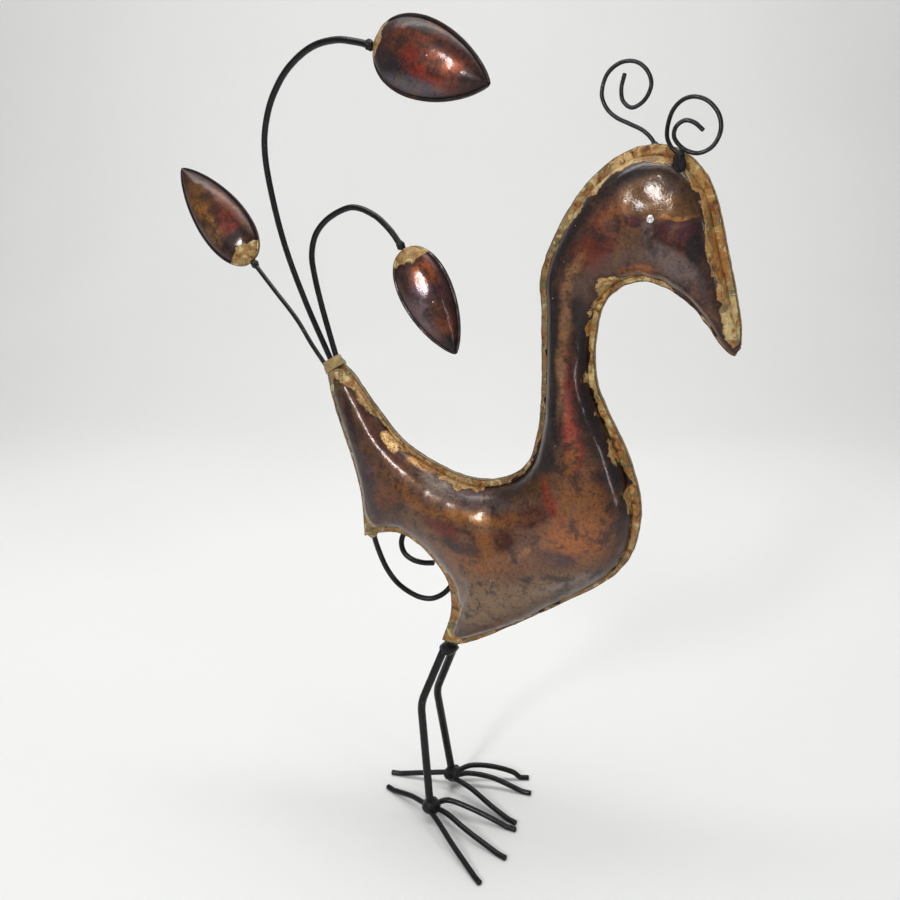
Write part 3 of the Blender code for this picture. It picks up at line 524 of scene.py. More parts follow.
def flame_steel(name, patches, gold_patches=(), wander=1.0, base=(0.15, 0.065, 0.032)):
    """Lacquered sheet steel with the colours of a torch flame, gold along the brazed rims."""
    tree = Tree(name)
    place = tree.attribute("place", "Vector")
    broad = tree.noise(place, 0.045, 2.0)
    fine = tree.noise(place, 0.2, 5.0, 0.6)
    shifted = tree.vector("SUBTRACT", broad.outputs["Color"], (0.5, 0.5, 0.5))
    shifted = tree.vector("SCALE", shifted, scale=9.0 * wander)
    ragged = tree.vector("SUBTRACT", fine.outputs["Color"], (0.5, 0.5, 0.5))
    ragged = tree.vector("SCALE", ragged, scale=5.0 * wander)
    wandering = tree.vector("ADD", tree.vector("ADD", place, shifted), ragged)

    colour = tree.mix(tree.ramp(broad.outputs["Fac"], 0.35, 0.65), base, tuple(0.7 * part for part in base))
    for patch in patches:
        colour = tree.patch(wandering, colour, *patch[:6], vivid(patch[6]))

    # Mottled oxide: dark clouds, warm clouds, and a fine grain of soot.
    mottle = tree.noise(place, 0.08, 6.0, 0.66, 0.3)
    streaks = tree.noise(place, 0.6, 6.0, 0.75)
    grain = tree.noise(place, 1.1, 5.0, 0.7)
    colour = tree.stain(colour, mottle, (0.026, 0.012, 0.008), 0.5, 0.64, 0.8)
    colour = tree.stain(colour, mottle, (0.22, 0.095, 0.028), 0.46, 0.34, 0.3)
    blotch = tree.noise(tree.vector("ADD", place, (91.0, 3.0, 17.0)), 0.2, 6.0, 0.7, 0.15)
    colour = tree.stain(colour, blotch, (0.03, 0.013, 0.009), 0.5, 0.68, 0.7)
    colour = tree.stain(colour, blotch, (0.2, 0.075, 0.03), 0.42, 0.3, 0.35)
    colour = tree.stain(colour, streaks, (0.03, 0.014, 0.012), 0.54, 0.7, 0.55)
    band = tree.attribute("band")
    band = tree.math("MULTIPLY", band, tree.ramp(mottle.outputs["Fac"], 0.3, 0.5, 0.55, 1.0))
    colour = tree.mix(band, colour, (0.014, 0.008, 0.009))
    shade = tree.ramp(streaks.outputs["Fac"], 0.32, 0.68, 0.45, 1.5, smooth=False)
    colour = tree.mix(1.0, colour, tree.grey(shade), "MULTIPLY")

    # Gold where the torch and the braze were, its border wandering in and out.
    gold = tree.attribute("gold")
    border = tree.noise(place, 0.11, 2.0, 0.5)
    nibble = tree.noise(place, 0.5, 3.0, 0.55)
    wavy = tree.math("MULTIPLY_ADD", tree.math("SUBTRACT", border.outputs["Fac"], 0.5), 9.0, gold)
    wavy = tree.math("MULTIPLY_ADD", tree.math("SUBTRACT", nibble.outputs["Fac"], 0.5), 3.2, wavy)
    gilded = tree.ramp(wavy, -0.3, 0.5)
    burnt = tree.math("MULTIPLY", tree.ramp(wavy, -3.2, -0.2), 0.75)
    colour = tree.mix(burnt, colour, (0.022, 0.009, 0.006))
    tint = tree.attribute("tint", "Color")
    cloud = tree.noise(place, 0.13, 4.0, 0.55, 1.2)
    drift = tree.noise(tree.vector("ADD", place, (57.0, 13.0, 5.0)), 0.08, 3.0, 0.5, 0.6)
    tint = tree.stain(tint, drift, (0.13, 0.1, 0.03), 0.49, 0.62, 0.85)
    tint = tree.stain(tint, cloud, (0.34, 0.125, 0.012), 0.49, 0.57, 0.92)
    tint = tree.stain(tint, cloud, (0.09, 0.035, 0.01), 0.58, 0.66, 0.9)
    tint = tree.stain(tint, cloud, (0.72, 0.55, 0.24), 0.44, 0.36, 0.8)
    tint = tree.stain(tint, grain, (0.05, 0.028, 0.012), 0.55, 0.7, 0.7)
    lip = tree.ramp(tree.math("ABSOLUTE", tree.math("SUBTRACT", wavy, 0.7)), 0.6, 0.0, 0.0, 0.5)
    colour = tree.mix(gilded, colour, tint)
    colour = tree.mix(lip, colour, (0.5, 0.3, 0.1))
    beside = tree.vector("ADD", place, tree.vector("SCALE", ragged, scale=0.7))
    for patch in gold_patches:
        speckled = tree.mix(tree.ramp(grain.outputs["Fac"], 0.48, 0.6), patch[6], (0.2, 0.085, 0.025))
        colour = tree.patch(beside, colour, *patch[:6], speckled)
    # A dark line painted along the very edge of the sheet: painted shade of the gap where the two rims
    # meet.
    edge = tree.attribute("edge")
    patchy_and_rim_shade = tree.math("MULTIPLY_ADD", tree.math("SUBTRACT", nibble.outputs["Fac"], 0.5), 1.8, edge)
    colour = tree.mix(tree.ramp(patchy_and_rim_shade, 0.6, 0.15, 0.0, 0.85), colour, (0.045, 0.03, 0.018))

    # Pits, soot and specks under the lacquer.
    pits = specks(tree, place, 0.5, 0.3, 0.25)
    colour = tree.mix(tree.math("MULTIPLY", pits, 0.6), colour, (0.015, 0.009, 0.008))
    dust = specks(tree, tree.vector("ADD", place, (31.0, 7.0, 53.0)), 0.17, 0.07, 0.3)
    colour = tree.mix(tree.math("MULTIPLY", dust, 0.85), colour, (0.62, 0.56, 0.48))
    tree.surface(Base_Color=colour)

    metal = tree.ramp(gilded, 0.0, 1.0, 0.5, 0.35)
    tree.surface(Metallic=metal)
    dull = tree.ramp(streaks.outputs["Fac"], 0.3, 0.75, 0.3, 0.52, smooth=False)
    dull = tree.math("MAXIMUM", dull, tree.math("MULTIPLY", gilded, 0.42))
    tree.surface(Roughness=dull)
    gloss = tree.math("MAXIMUM", tree.ramp(edge, 3.0, 12.0, 0.25, 0.85), tree.math("MULTIPLY", gilded, 0.8))
    tree.surface(Coat_Weight=gloss, Specular_IOR_Level=0.35, Coat_Roughness=0.09, Coat_IOR=1.42)

    # Hammered dents, orange peel in the lacquer, wrinkles in the rims.
    dents = tree.noise(place, 0.09, 1.0)
    peel = tree.noise(place, 1.1, 2.0)
    wrinkle = tree.noise(place, 0.4, 5.0, 0.62, 0.8)
    height = tree.math("MULTIPLY", dents.outputs["Fac"], 0.7)
    height = tree.math("MULTIPLY_ADD", peel.outputs["Fac"], 0.035, height)
    rimmed = tree.math("MULTIPLY", gilded, 1.3)
    height = tree.math("MULTIPLY_ADD", tree.math("MULTIPLY", wrinkle.outputs["Fac"], rimmed), 1.1, height)
    height = tree.math("MULTIPLY_ADD", wrinkle.outputs["Fac"], 0.07, height)
    height = tree.math("MULTIPLY_ADD", pits, -0.06, height)
    height = tree.math("MULTIPLY_ADD", dust, 0.12, height)
    normal = tree.bump(height, MM)
    tree.surface(Normal=normal, Coat_Normal=normal)
    return tree.material


def object_place(tree):
    """The point on the piece in millimetres, which stays with the piece when it moves."""
    coordinates = tree.node("ShaderNodeTexCoord")
    return tree.vector("SCALE", coordinates.outputs["Object"], scale=1.0 / MM)


def black_wire_paint():
    """Semi-gloss black paint, thick in places, with dust and a few rubs down to brown metal."""
    tree = Tree("black_wire_paint")
    place = object_place(tree)
    cloud = tree.noise(place, 0.12, 4.0, 0.6)
    grain = tree.noise(place, 1.4, 5.0, 0.65)
    patchy_and_rim_shade = tree.ramp(cloud.outputs["Fac"], 0.4, 0.65)
    colour = tree.mix(patchy_and_rim_shade, (0.002, 0.002, 0.0025), (0.006, 0.0055, 0.006))
    rub = tree.math("ADD", cloud.outputs["Fac"], tree.math("MULTIPLY", grain.outputs["Fac"], 0.6))
    colour = tree.mix(tree.ramp(rub, 1.02, 1.1, 0.0, 0.6), colour, (0.075, 0.05, 0.035))
    dust = specks(tree, place, 0.5, 0.16, 0.12)
    colour = tree.mix(tree.math("MULTIPLY", dust, 0.35), colour, (0.3, 0.3, 0.31))
    tree.surface(Base_Color=colour, Roughness=tree.ramp(grain.outputs["Fac"], 0.3, 0.75, 0.2, 0.44))
    tree.surface(Specular_IOR_Level=0.25, Coat_Weight=0.12, Coat_Roughness=0.1)
    sag = tree.noise(place, 0.35, 2.0)
    grit = tree.math("MULTIPLY", grain.outputs["Fac"], 0.05)
    height = tree.math("MULTIPLY_ADD", sag.outputs["Fac"], 0.16, grit)
    height = tree.math("MULTIPLY_ADD", dust, 0.05, height)
    normal = tree.bump(height, MM)
    tree.surface(Normal=normal, Coat_Normal=normal)
    return tree.material


def weld_black():
    """Painted weld metal: coarse ripples and spatter under the same black."""
    tree = Tree("painted_weld")
    place = object_place(tree)
    grain = tree.noise(place, 0.9, 6.0, 0.7, 0.4)
    patchy_and_rim_shade = tree.ramp(grain.outputs["Fac"], 0.45, 0.7)
    colour = tree.mix(patchy_and_rim_shade, (0.003, 0.003, 0.0035), (0.015, 0.012, 0.01))
    tree.surface(Base_Color=colour, Roughness=tree.ramp(grain.outputs["Fac"], 0.35, 0.7, 0.25, 0.5))
    tree.surface(Specular_IOR_Level=0.25, Coat_Weight=0.1, Coat_Roughness=0.15)
    ripple = tree.noise(place, 0.5, 4.0, 0.6, 1.2)
    grit = tree.math("MULTIPLY", grain.outputs["Fac"], 0.25)
    height = tree.math("MULTIPLY_ADD", ripple.outputs["Fac"], 0.8, grit)
    tree.surface(Normal=tree.bump(height, MM))
    return tree.material


def brass_braze():
    """Brass filler run hot into the seam: lumpy, gold to olive, sooty in its folds."""
    tree = Tree("brass_braze")
    place = object_place(tree)
    cloud = tree.noise(place, 0.2, 5.0, 0.6, 0.5)
    grain = tree.noise(place, 0.9, 6.0, 0.7, 0.3)
    colour = tree.mix(tree.ramp(cloud.outputs["Fac"], 0.35, 0.65), (0.26, 0.2, 0.085), (0.46, 0.3, 0.1))
    colour = tree.stain(colour, grain, (0.07, 0.05, 0.028), 0.5, 0.7, 0.85)
    colour = tree.stain(colour, grain, (0.7, 0.55, 0.3), 0.42, 0.3, 0.6)
    tree.surface(Base_Color=colour, Metallic=tree.ramp(grain.outputs["Fac"], 0.45, 0.7, 0.75, 0.3))
    tree.surface(Roughness=tree.ramp(grain.outputs["Fac"], 0.3, 0.7, 0.3, 0.6), Coat_Weight=0.7)
    tree.surface(Coat_Roughness=0.15)
    fold = tree.noise(place, 0.4, 4.0, 0.6, 1.5)
    grit = tree.math("MULTIPLY", grain.outputs["Fac"], 0.35)
    height = tree.math("MULTIPLY_ADD", fold.outputs["Fac"], 1.3, grit)
    normal = tree.bump(height, MM)
    tree.surface(Normal=normal, Coat_Normal=normal)
    return tree.material


def eye_silver():
    """A bright turned stud, scuffed."""
    tree = Tree("eye_silver")
    place = object_place(tree)
    grain = tree.noise(place, 2.2, 4.0, 0.6)
    colour = tree.mix(tree.ramp(grain.outputs["Fac"], 0.45, 0.7), (0.78, 0.76, 0.74), (0.36, 0.3, 0.27))
    tree.surface(Base_Color=colour, Metallic=0.9)
    tree.surface(Roughness=tree.ramp(grain.outputs["Fac"], 0.3, 0.7, 0.25, 0.5))
    tree.surface(Normal=tree.bump(tree.math("MULTIPLY", grain.outputs["Fac"], 0.12), MM))
    return tree.material


black = black_wire_paint()
weld_paint = weld_black()
braze = brass_braze()
silver = eye_silver()
body_steel = flame_steel("flame_coloured_steel", BODY_PATCHES, BODY_GOLD)

# ---------------------------------------------------------------- dished sheets


def rise(share, width, bulge):
    """Height of the dish at this share of its width: a rounded shoulder, then a dome."""
    even = share ** (math.log(0.5) / math.log(RIDGE))
    dome = 1.0 - abs(2.0 * even - 1.0) ** 2.2
    reach = min(SHOULDER, width / 2.0)
    near = min(share, 1.0 - share) * width / reach
    shoulder = math.sqrt(max(0.0, 1.0 - (1.0 - min(near, 1.0)) ** 2))
    step = min(SHOULDER_RISE, 0.6 * bulge)
    return step * shoulder + (bulge - step) * dome


def sheet_points(upper, lower, bulge, upper_rim, lower_rim, bow, rim_columns, columns):
    """Points (x, z, height, share of the width, width) across a dished sheet, finer in its rims."""
    span = lower - upper
    width = float(np.linalg.norm(span))
    sideways = np.array((-span[1], span[0])) / width * bow
    first = min(upper_rim / width, 0.35)
    final = 1.0 - min(lower_rim / width, 0.35)
    shares = [first * index / rim_columns for index in range(rim_columns)]
    for index in range(columns + 1):
        shares.append(first + (final - first) * (1 - math.cos(math.pi * index / columns)) / 2)
    shares += [final + (1.0 - final) * index / rim_columns for index in range(1, rim_columns + 1)]
    points = []
    for share in shares:
        inner = (share - first) / (final - first)
        height = rise(inner, width * (final - first), bulge) if 0.0 < inner < 1.0 else 0.0
        x, z = upper + span * share + sideways * 4.0 * share * (1.0 - share)
        points.append((x, z, height, share, width))
    return points


def slant(edge, index, span):
    """How much longer a step along the rib is than the same step square to the edge."""
    tangent = edge[min(index + 1, len(edge) - 1)] - edge[max(index - 1, 0)]
    cross = abs(tangent[0] * span[1] - tangent[1] * span[0])
    return 1.0 / max(0.35, cross / max(1e-9, np.linalg.norm(tangent) * np.linalg.norm(span)))


BODY_STEPS = 7


def body_grid():
    """The half shell as a grid of points, with the colour bands that follow its edges."""
    wheres = [index / BODY_STEPS for index in range((len(RIBS) - 1) * BODY_STEPS + 1)]
    corners = (TAIL_CORNER, BELLY_CORNER)
    shift = np.array((BELLY_X, LEG_HEIGHT))
    upper = [point + shift for point in spline([rib[0:2] for rib in RIBS], wheres)]
    lower = [point + shift for point in spline([rib[2:4] for rib in RIBS], wheres, corners)]
    bulges = spline([rib[4:5] for rib in RIBS], wheres)
    grid = []
    for index, where in enumerate(wheres):
        span = lower[index] - upper[index]
        bow = keyed(BOW, where)
        bend = np.array((-span[1], span[0])) / np.linalg.norm(span) * 4.0 * bow
        upper_slant = slant(upper, index, span + bend)
        lower_slant = slant(lower, index, span - bend)
        upper_rim = keyed(UPPER_RIM, where) * upper_slant
        lower_rim = keyed(LOWER_RIM, where) * lower_slant
        bulge = float(bulges[index][0])
        points = sheet_points(upper[index], lower[index], bulge, upper_rim, lower_rim, bow, 6, 46)
        row = []
        lean = np.array((span[0], span[1])) / np.linalg.norm(span)
        for x, z, height, share, width in points:
            if height == 0.0:
                stray = 0.4 * noise.noise(Vector((x, 11.0, z)) * 0.16)
                stray += 0.2 * noise.noise(Vector((x, 5.0, z)) * 0.55)
                x += float(lean[0]) * stray
                z += float(lean[1]) * stray
            from_upper = share * width / upper_slant
            from_lower = (1.0 - share) * width / lower_slant
            nearer_upper = from_upper - keyed(GOLD_UPPER, where) < from_lower - keyed(GOLD_LOWER, where)
            if nearer_upper:
                gold = keyed(GOLD_UPPER, where) - from_upper
                tint = keyed(TINT_UPPER, where)
                band = keyed(BAND_UPPER, where)
            else:
                gold = keyed(GOLD_LOWER, where) - from_lower
                tint = keyed(TINT_LOWER, where)
                band = keyed(BAND_LOWER, where)
            band *= max(0.0, min(1.0, (13.0 + gold) / 8.0))
            row.append((x, z, height, gold, min(from_upper, from_lower), band, tint))
        grid.append(row)
    return without_creases(grid)


def without_creases(grid):
    """The sheet runs smoothly over the ribs that meet the two sharp corners of the outline."""
    shape = np.array([[point[0:3] for point in row] for row in grid])
    smooth = shape.copy()
    count = shape.shape[1]
    for corner in (TAIL_CORNER, BELLY_CORNER):
        centre = corner * BODY_STEPS
        for column in range(8, count - 8):
            reach = int(round(9 * min(1.0, 1.6 * (1.0 - column / count))))
            for index in range(max(1, centre - 12), min(len(grid) - 1, centre + 13)):
                first, last = max(0, index - reach), min(len(grid), index + reach + 1)
                blend = max(0.0, 1.0 - abs(index - centre) / 13.0)
                mean = shape[first:last, column].mean(axis=0)
                smooth[index, column] = shape[index, column] * (1.0 - blend) + mean * blend
    return [
        [(*map(float, smooth[i, j]), *point[3:]) for j, point in enumerate(row)]
        for i, row in enumerate(grid)
    ]


def relief(place, gold, height, seed):
    """Hammer marks on the dome and ripples in the rim, in millimetres."""
    spot = Vector(place) + Vector((seed, 0.0, 0.0))
    marks = 0.4 * noise.noise(spot * 0.06) + 0.07 * noise.noise(spot * 0.2)
    marks *= min(1.0, height / 5.0)
    if height <= 0.0:
        marks = 0.16 * noise.noise(spot * 0.3) + 0.09 * noise.noise(spot * 0.8)
        marks = abs(marks)
    if gold > 0.0:
        marks += 0.22 * min(1.0, gold / 1.5) * (0.6 + 0.8 * noise.noise(spot * 0.33))
    return marks


def sheet_piece(name, grid, side, offset, sheet, material, frame_matrix=None, seed=0.0):
    """One dished half from its grid, with the attributes that its colours follow."""
    count = len(grid[0])
    vertices = []
    facts = []
    for row in grid:
        for x, z, height, gold, edge, band, tint in row:
            raised = height + relief((x, side * height, z), gold, height, seed)
            point = Vector((x, side * (offset + raised), z))
            facts.append(((x, side * height, z), gold, edge, band, tint))
            vertices.append(to_frame(frame_matrix @ point if frame_matrix else point))
    faces = []
    for index in range(len(grid) - 1):
        for column in range(count - 1):
            a = index * count + column
            quad = (a, a + 1, a + count + 1, a + count)
            faces.append(quad if side < 0 else tuple(reversed(quad)))
    mesh = bpy.data.meshes.new(name)
    mesh.from_pydata(vertices, [], faces)
    mesh.update()
    where = mesh.attributes.new("place", "FLOAT_VECTOR", "POINT")
    where.data.foreach_set("vector", [part for fact in facts for part in fact[0]])
    for key, column in (("gold", 1), ("edge", 2), ("band", 3)):
        made = mesh.attributes.new(key, "FLOAT", "POINT")
        made.data.foreach_set("value", [fact[column] for fact in facts])
    tints = mesh.attributes.new("tint", "FLOAT_COLOR", "POINT")
    tints.data.foreach_set("color", [part for fact in facts for part in (*fact[4], 1.0)])
    mesh.shade_smooth()
    mesh.materials.append(material)
    obj = bpy.data.objects.new(name, mesh)
    bpy.context.scene.collection.objects.link(obj)
    bpy.context.view_layer.update()
    outward = Vector((0.0, float(side), 0.0))
    if frame_matrix:
        outward = frame_matrix.to_3x3() @ outward
    middle = mesh.polygons[len(mesh.polygons) // 2]
    if middle.normal.dot(outward) < 0:
        mesh.flip_normals()
    thickness = obj.modifiers.new("sheet", "SOLIDIFY")
    thickness.thickness = sheet * MM
    thickness.offset = 1.0
    thickness.use_quality_normals = True
    return obj


grid = body_grid()
right_half = sheet_piece("right_half_shell", grid, -1, RIM_INSIDE, SHEET, body_steel, seed=0.0)
left_half = sheet_piece("left_half_shell", grid, 1, RIM_INSIDE, SHEET, body_steel, seed=77.0)
finish_piece(right_half, "stand", "flame_coloured_steel", "body_shell_right")
finish_piece(left_half, "stand", "flame_coloured_steel", "body_shell_left")


def seam_run(name, node, edge, first, last, seed):
    """Filler between the two rims, uneven along its length."""
    route = []
    for index, row in enumerate(grid):
        if not first <= index / BODY_STEPS <= last:
            continue
        x, z = row[edge][0:2]
        inner_x, inner_z = row[edge + 3 if edge == 0 else edge - 3][0:2]
        inward = Vector((inner_x - x, 0.0, inner_z - z)).normalized() * 0.4
        route.append(Vector((x, 0.0, z)) + inward)
    obj = tube(name, route, 1.25, braze, 0.9, 10, seed, 0.5)
    return finish_piece(obj, "stand", "braze", node)


seam_run("back_seam_filler", "seam_back", 0, 0, 41, 3.0)
seam_run("breast_seam_filler", "seam_breast", -1, 14, 40, 5.0)
seam_run("vent_seam_filler", "seam_vent", -1, 6, 13, 7.0)
seam_run("tail_seam_filler", "seam_tail", -1, 0, 5.9, 9.0)


# ---------------------------------------------------------------- eyes


# Rings of the stud from its dimple to its seat: radius and height.
EYE_PROFILE = (
    (0.5, 0.52), (0.8, 0.75), (1.15, 1.06), (1.5, 1.06), (1.85, 0.8), (2.08, 0.35), (2.1, -0.1),
    (1.9, -0.5),
)
EYE_SIDES = 40


def eye(name, node, side):
    """A turned stud with a dimple, square to the sheet that it sits on."""
    low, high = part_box(node)
    centre = (low + high) / 2
    shape = bmesh.new()
    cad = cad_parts[node].data
    areas = Vector((0.0, 0.0, 0.0))
    for polygon in cad.polygons:
        if polygon.normal.y * side > 0.8:
            areas += polygon.normal * polygon.area
    normal = areas.normalized()
    turn = Vector((0.0, 0.0, 1.0)).rotation_difference(normal).to_matrix().to_4x4()
    rings = []
    for radius, height in EYE_PROFILE:
        ring = []
        for index in range(EYE_SIDES):
            angle = 2 * math.pi * index / EYE_SIDES
            wobble = 1.0 + 0.03 * noise.noise(Vector((math.cos(angle), math.sin(angle), radius)) * 2.0)
            point = (radius * wobble * math.cos(angle), radius * wobble * math.sin(angle), height)
            ring.append(shape.verts.new(point))
        rings.append(ring)
    for ring, after in zip(rings, rings[1:]):
        for index in range(EYE_SIDES):
            following = (index + 1) % EYE_SIDES
            shape.faces.new((ring[index], ring[following], after[following], after[index]))
    shape.faces.new(rings[0])
    shape.faces.new(list(reversed(rings[-1])))
    bmesh.ops.recalc_face_normals(shape, faces=shape.faces)
    seat = centre / MM - BIRD - normal * 0.5
    bmesh.ops.transform(shape, matrix=Matrix.Translation(seat) @ turn, verts=shape.verts)
    obj = add_mesh(name, shape, silver)
    rounding = obj.modifiers.new("smooth", "SUBSURF")
    rounding.levels = 1
    rounding.render_levels = 1
    return finish_piece(obj, "stand", "eye_metal", node)


eye("right_eye", "eye_stud_right", -1)
eye("left_eye", "eye_stud_left", 1)


def body_point(x, z, y=0.0):
    return Vector((BELLY_X + x, y, LEG_HEIGHT + z))


# ---------------------------------------------------------------- crest

CREST_OUT = RIM_INSIDE + SHEET + GAP + CREST_WIRE / 2 + 1.2
CREST_RIGHT = (
    (0.4, 2.2, -4.4),
    (-0.4, 0.8, 1.0),
    (-4.6, 0.6, 5.0),
    (-6.8, 1.0, 11.0),
    (-5.2, 1.3, 20.0),
    (-0.8, 1.6, 25.4),
    (5.2, 2.0, 27.0),
    (12.0, 2.4, 24.6),
    (17.2, 2.8, 18.6),
    (18.6, 3.2, 11.4),
    (15.6, 3.6, 4.6),
    (9.4, 3.9, 1.6),
    (2.6, 4.1, 3.4),
    (-2.4, 4.2, 8.6),
    (-2.0, 4.3, 13.6),
    (2.0, 4.3, 16.4),
    (6.6, 4.3, 15.2),
    (11.0, 4.3, 11.6),
)
CREST_LEFT = (
    (1.6, 0.0, -5.5),
    (0.6, 0.0, 1.0),
    (-4.6, 0.3, 6.6),
    (-12.2, 0.6, 10.4),
    (-19.4, 0.8, 13.8),
    (-24.6, 1.0, 18.6),
    (-27.2, 1.2, 25.4),
    (-25.0, 1.4, 34.0),
    (-18.8, 1.6, 39.0),
    (-11.0, 1.6, 39.2),
    (-5.0, 1.6, 34.8),
    (-2.6, 1.6, 28.2),
    (-5.4, 1.6, 21.4),
    (-11.4, 1.6, 18.0),
    (-16.2, 1.6, 21.2),
    (-17.4, 1.6, 27.2),
    (-16.0, 1.6, 34.2),
)
for label, side, root, offsets in (
    ("right", -1, body_point(129.0, 282.6), CREST_RIGHT),
    ("left", 1, body_point(113.4, 289.2), CREST_LEFT),
):
    knots = [root + Vector((x, side * (CREST_OUT + y), z)) for x, y, z in offsets]
    curl = tube(label + "_crest_wire", through(knots, 8), CREST_WIRE, black, 0.6, 16, side * 4.0, 0.05)
    finish_piece(curl, "stand", "black_wire", "crest_curl_" + label)
    centre = knots[0] + Vector((0.0, side * 0.2, 1.2))
    blob = lump(label + "_crest_weld_bead", centre, (3.0, 2.5, 6.2), weld_paint, 11.0 + side)
    finish_piece(blob, "stand", "black_wire", "crest_weld_" + label)


# ---------------------------------------------------------------- legs and feet

TOE_AXIS = 1.5
TOE_PITCH = 4.5
TOE_LIFT = 6.6
LEG_FOOT = TOE_LIFT + TOE_AXIS + THICK_WIRE / 2 + 0.5
HIP_SPREAD = 3.1
ANKLES = {"right": Vector((-0.5, -16.5, 0.0)), "left": Vector((-2.5, 21.0, 0.0))}
KNEES = {"right": (-9.6, -10.0), "left": (-8.0, 9.5)}
HIPS = {"right": (3.2, -HIP_SPREAD), "left": (7.4, HIP_SPREAD)}
TOES = {
    "right": (
        ("inner", 1, 2.6, ((9.0, 8.6, 8.0), (22.5, 9.6, 6.4), (38.5, 9.9, 3.0)), (55.2, 10.0)),
        ("middle", 0, 4.4, ((14.0, -3.0, 7.0), (30.5, -9.4, 4.6)), (59.0, -16.8)),
        ("outer", -1, 2.6, ((12.5, -12.0, 5.6), (28.0, -24.4, 3.4)), (53.1, -42.5)),
        ("hind", 0.2, -4.0, ((-17.0, 6.8, 4.4),), (-39.0, 14.6)),
    ),
    "left": (
        ("inner", -1, 2.6, ((10.0, -7.0, 7.2), (20.0, -10.0, 6.0), (37.0, -16.8, 2.8)), (55.0, -21.8)),
        ("middle", 0, 4.4, ((12.0, 3.6, 7.8), (27.0, 8.2, 5.6)), (53.2, 10.8)),
        ("outer", 1, 2.6, ((10.0, 9.6, 9.6), (22.0, 15.6, 8.8), (35.0, 21.6, 4.6)), (46.0, 26.4)),
        ("hind", -0.1, -4.0, ((-20.0, -3.6, 3.4),), (-42.0, -7.8)),
    ),
}
for side, ankle in ANKLES.items():
    hip = Vector((*HIPS[side], LEG_HEIGHT - 6.0))
    knee = Vector((*KNEES[side], LEG_HEIGHT * 0.64))
    foot = ankle + Vector((0.0, 0.0, LEG_FOOT))
    route = bent_rod((hip, knee, foot), 6.0)
    leg = tube(side + "_leg_rod", route, LEG_ROD, black, 1.5, 28, ankle.y, 0.012)
    finish_piece(leg, "stand", "black_wire", "leg_" + side)
    for toe, across, ahead, middle, tip in TOES[side]:
        root = ankle + Vector((ahead, across * TOE_PITCH, TOE_LIFT + TOE_AXIS))
        end = ankle + Vector((*tip, TOE_AXIS))
        bows = [ankle + Vector((x, y, lift + TOE_AXIS)) for x, y, lift in middle]
        back = bows[-1] - end
        back.z = 0.0
        touch = end + back.normalized() * 6.0
        knots = through([root, *bows, touch], 10) + [end]
        rod = tube(side + "_" + toe + "_toe_rod", knots, THICK_WIRE, black, 1.0, 20, tip[0], 0.015)
        for vertex in rod.data.vertices:
            vertex.co.z = max(vertex.co.z, 0.0)
        finish_piece(rod, "stand", "black_wire", "toe_" + side + "_" + toe)
    centre = ankle + Vector((1.0, 0.0, TOE_LIFT + TOE_AXIS + 0.6))
    radii = (5.8, TOE_PITCH + 2.4, 4.6)
    bead = lump(side + "_ankle_weld_bead", centre, radii, weld_paint, 31.0 + ankle.y, 0.13)
    finish_piece(bead, "stand", "black_wire", "ankle_weld_" + side)

hip_bead = lump("belly_weld_bead", (5.3, 0.0, LEG_HEIGHT - 5.8), (5.6, 6.8, 3.8), weld_paint, 23.0, 0.1)
finish_piece(hip_bead, "stand", "black_wire", "belly_weld")

# ---------------------------------------------------------------- curl under the tail

TAIL_CURL = (
    (2.2, 0.2, 3.2),
    (3.2, 0.3, -1.0),
    (4.6, 1.4, -8.0),
    (7.2, 3.2, -17.5),
    (10.6, 5.0, -26.0),
    (16.2, 6.8, -34.0),
    (23.6, 8.4, -39.4),
    (31.6, 9.8, -42.4),
    (39.4, 11.6, -42.2),
    (47.0, 13.8, -37.4),
    (52.4, 15.6, -28.6),
    (53.6, 16.6, -17.0),
    (49.6, 16.8, -5.6),
    (41.4, 16.6, 3.0),
    (30.6, 15.6, 6.0),
    (21.4, 13.6, 2.6),
    (17.0, 11.8, -6.0),
    (19.0, 10.6, -13.4),
    (25.0, 10.2, -17.4),
    (33.0, 10.2, -18.4),
    (40.8, 10.2, -17.2),
)
CURL_OUT = RIM_INSIDE + SHEET + GAP + THICK_WIRE / 2 + 0.2
tail_corner = body_point(-53.5, 60.0)
curl_knots = [tail_corner + Vector((x, CURL_OUT + y, z)) for x, y, z in TAIL_CURL]
tail_curl = tube("tail_curl_wire", through(curl_knots, 8), THICK_WIRE, black, 0.9, 20, 6.0, 0.02)
finish_piece(tail_curl, "stand", "black_wire", "tail_curl")
bead_place = curl_knots[0] + Vector((0.0, -0.2, -1.6))
curl_bead = lump("tail_curl_weld_bead", bead_place, (3.6, 2.8, 4.4), braze, 41.0)
finish_piece(curl_bead, "stand", "braze", "tail_curl_weld")

# ---------------------------------------------------------------- tail cap, wires and leaves

tail_upper = body_point(-65.5, 167.5)
tail_lower = body_point(-76.8, 161.0)
tail_across = (tail_lower - tail_upper).normalized()
tail_along = Vector((tail_across.z, 0.0, -tail_across.x))
CAP_LENGTH = 7.0
CAP_HALF = (7.5, 4.9, 3.6)
cap_centre = (tail_upper + tail_lower) / 2 + tail_along * (GAP + CAP_LENGTH / 2)

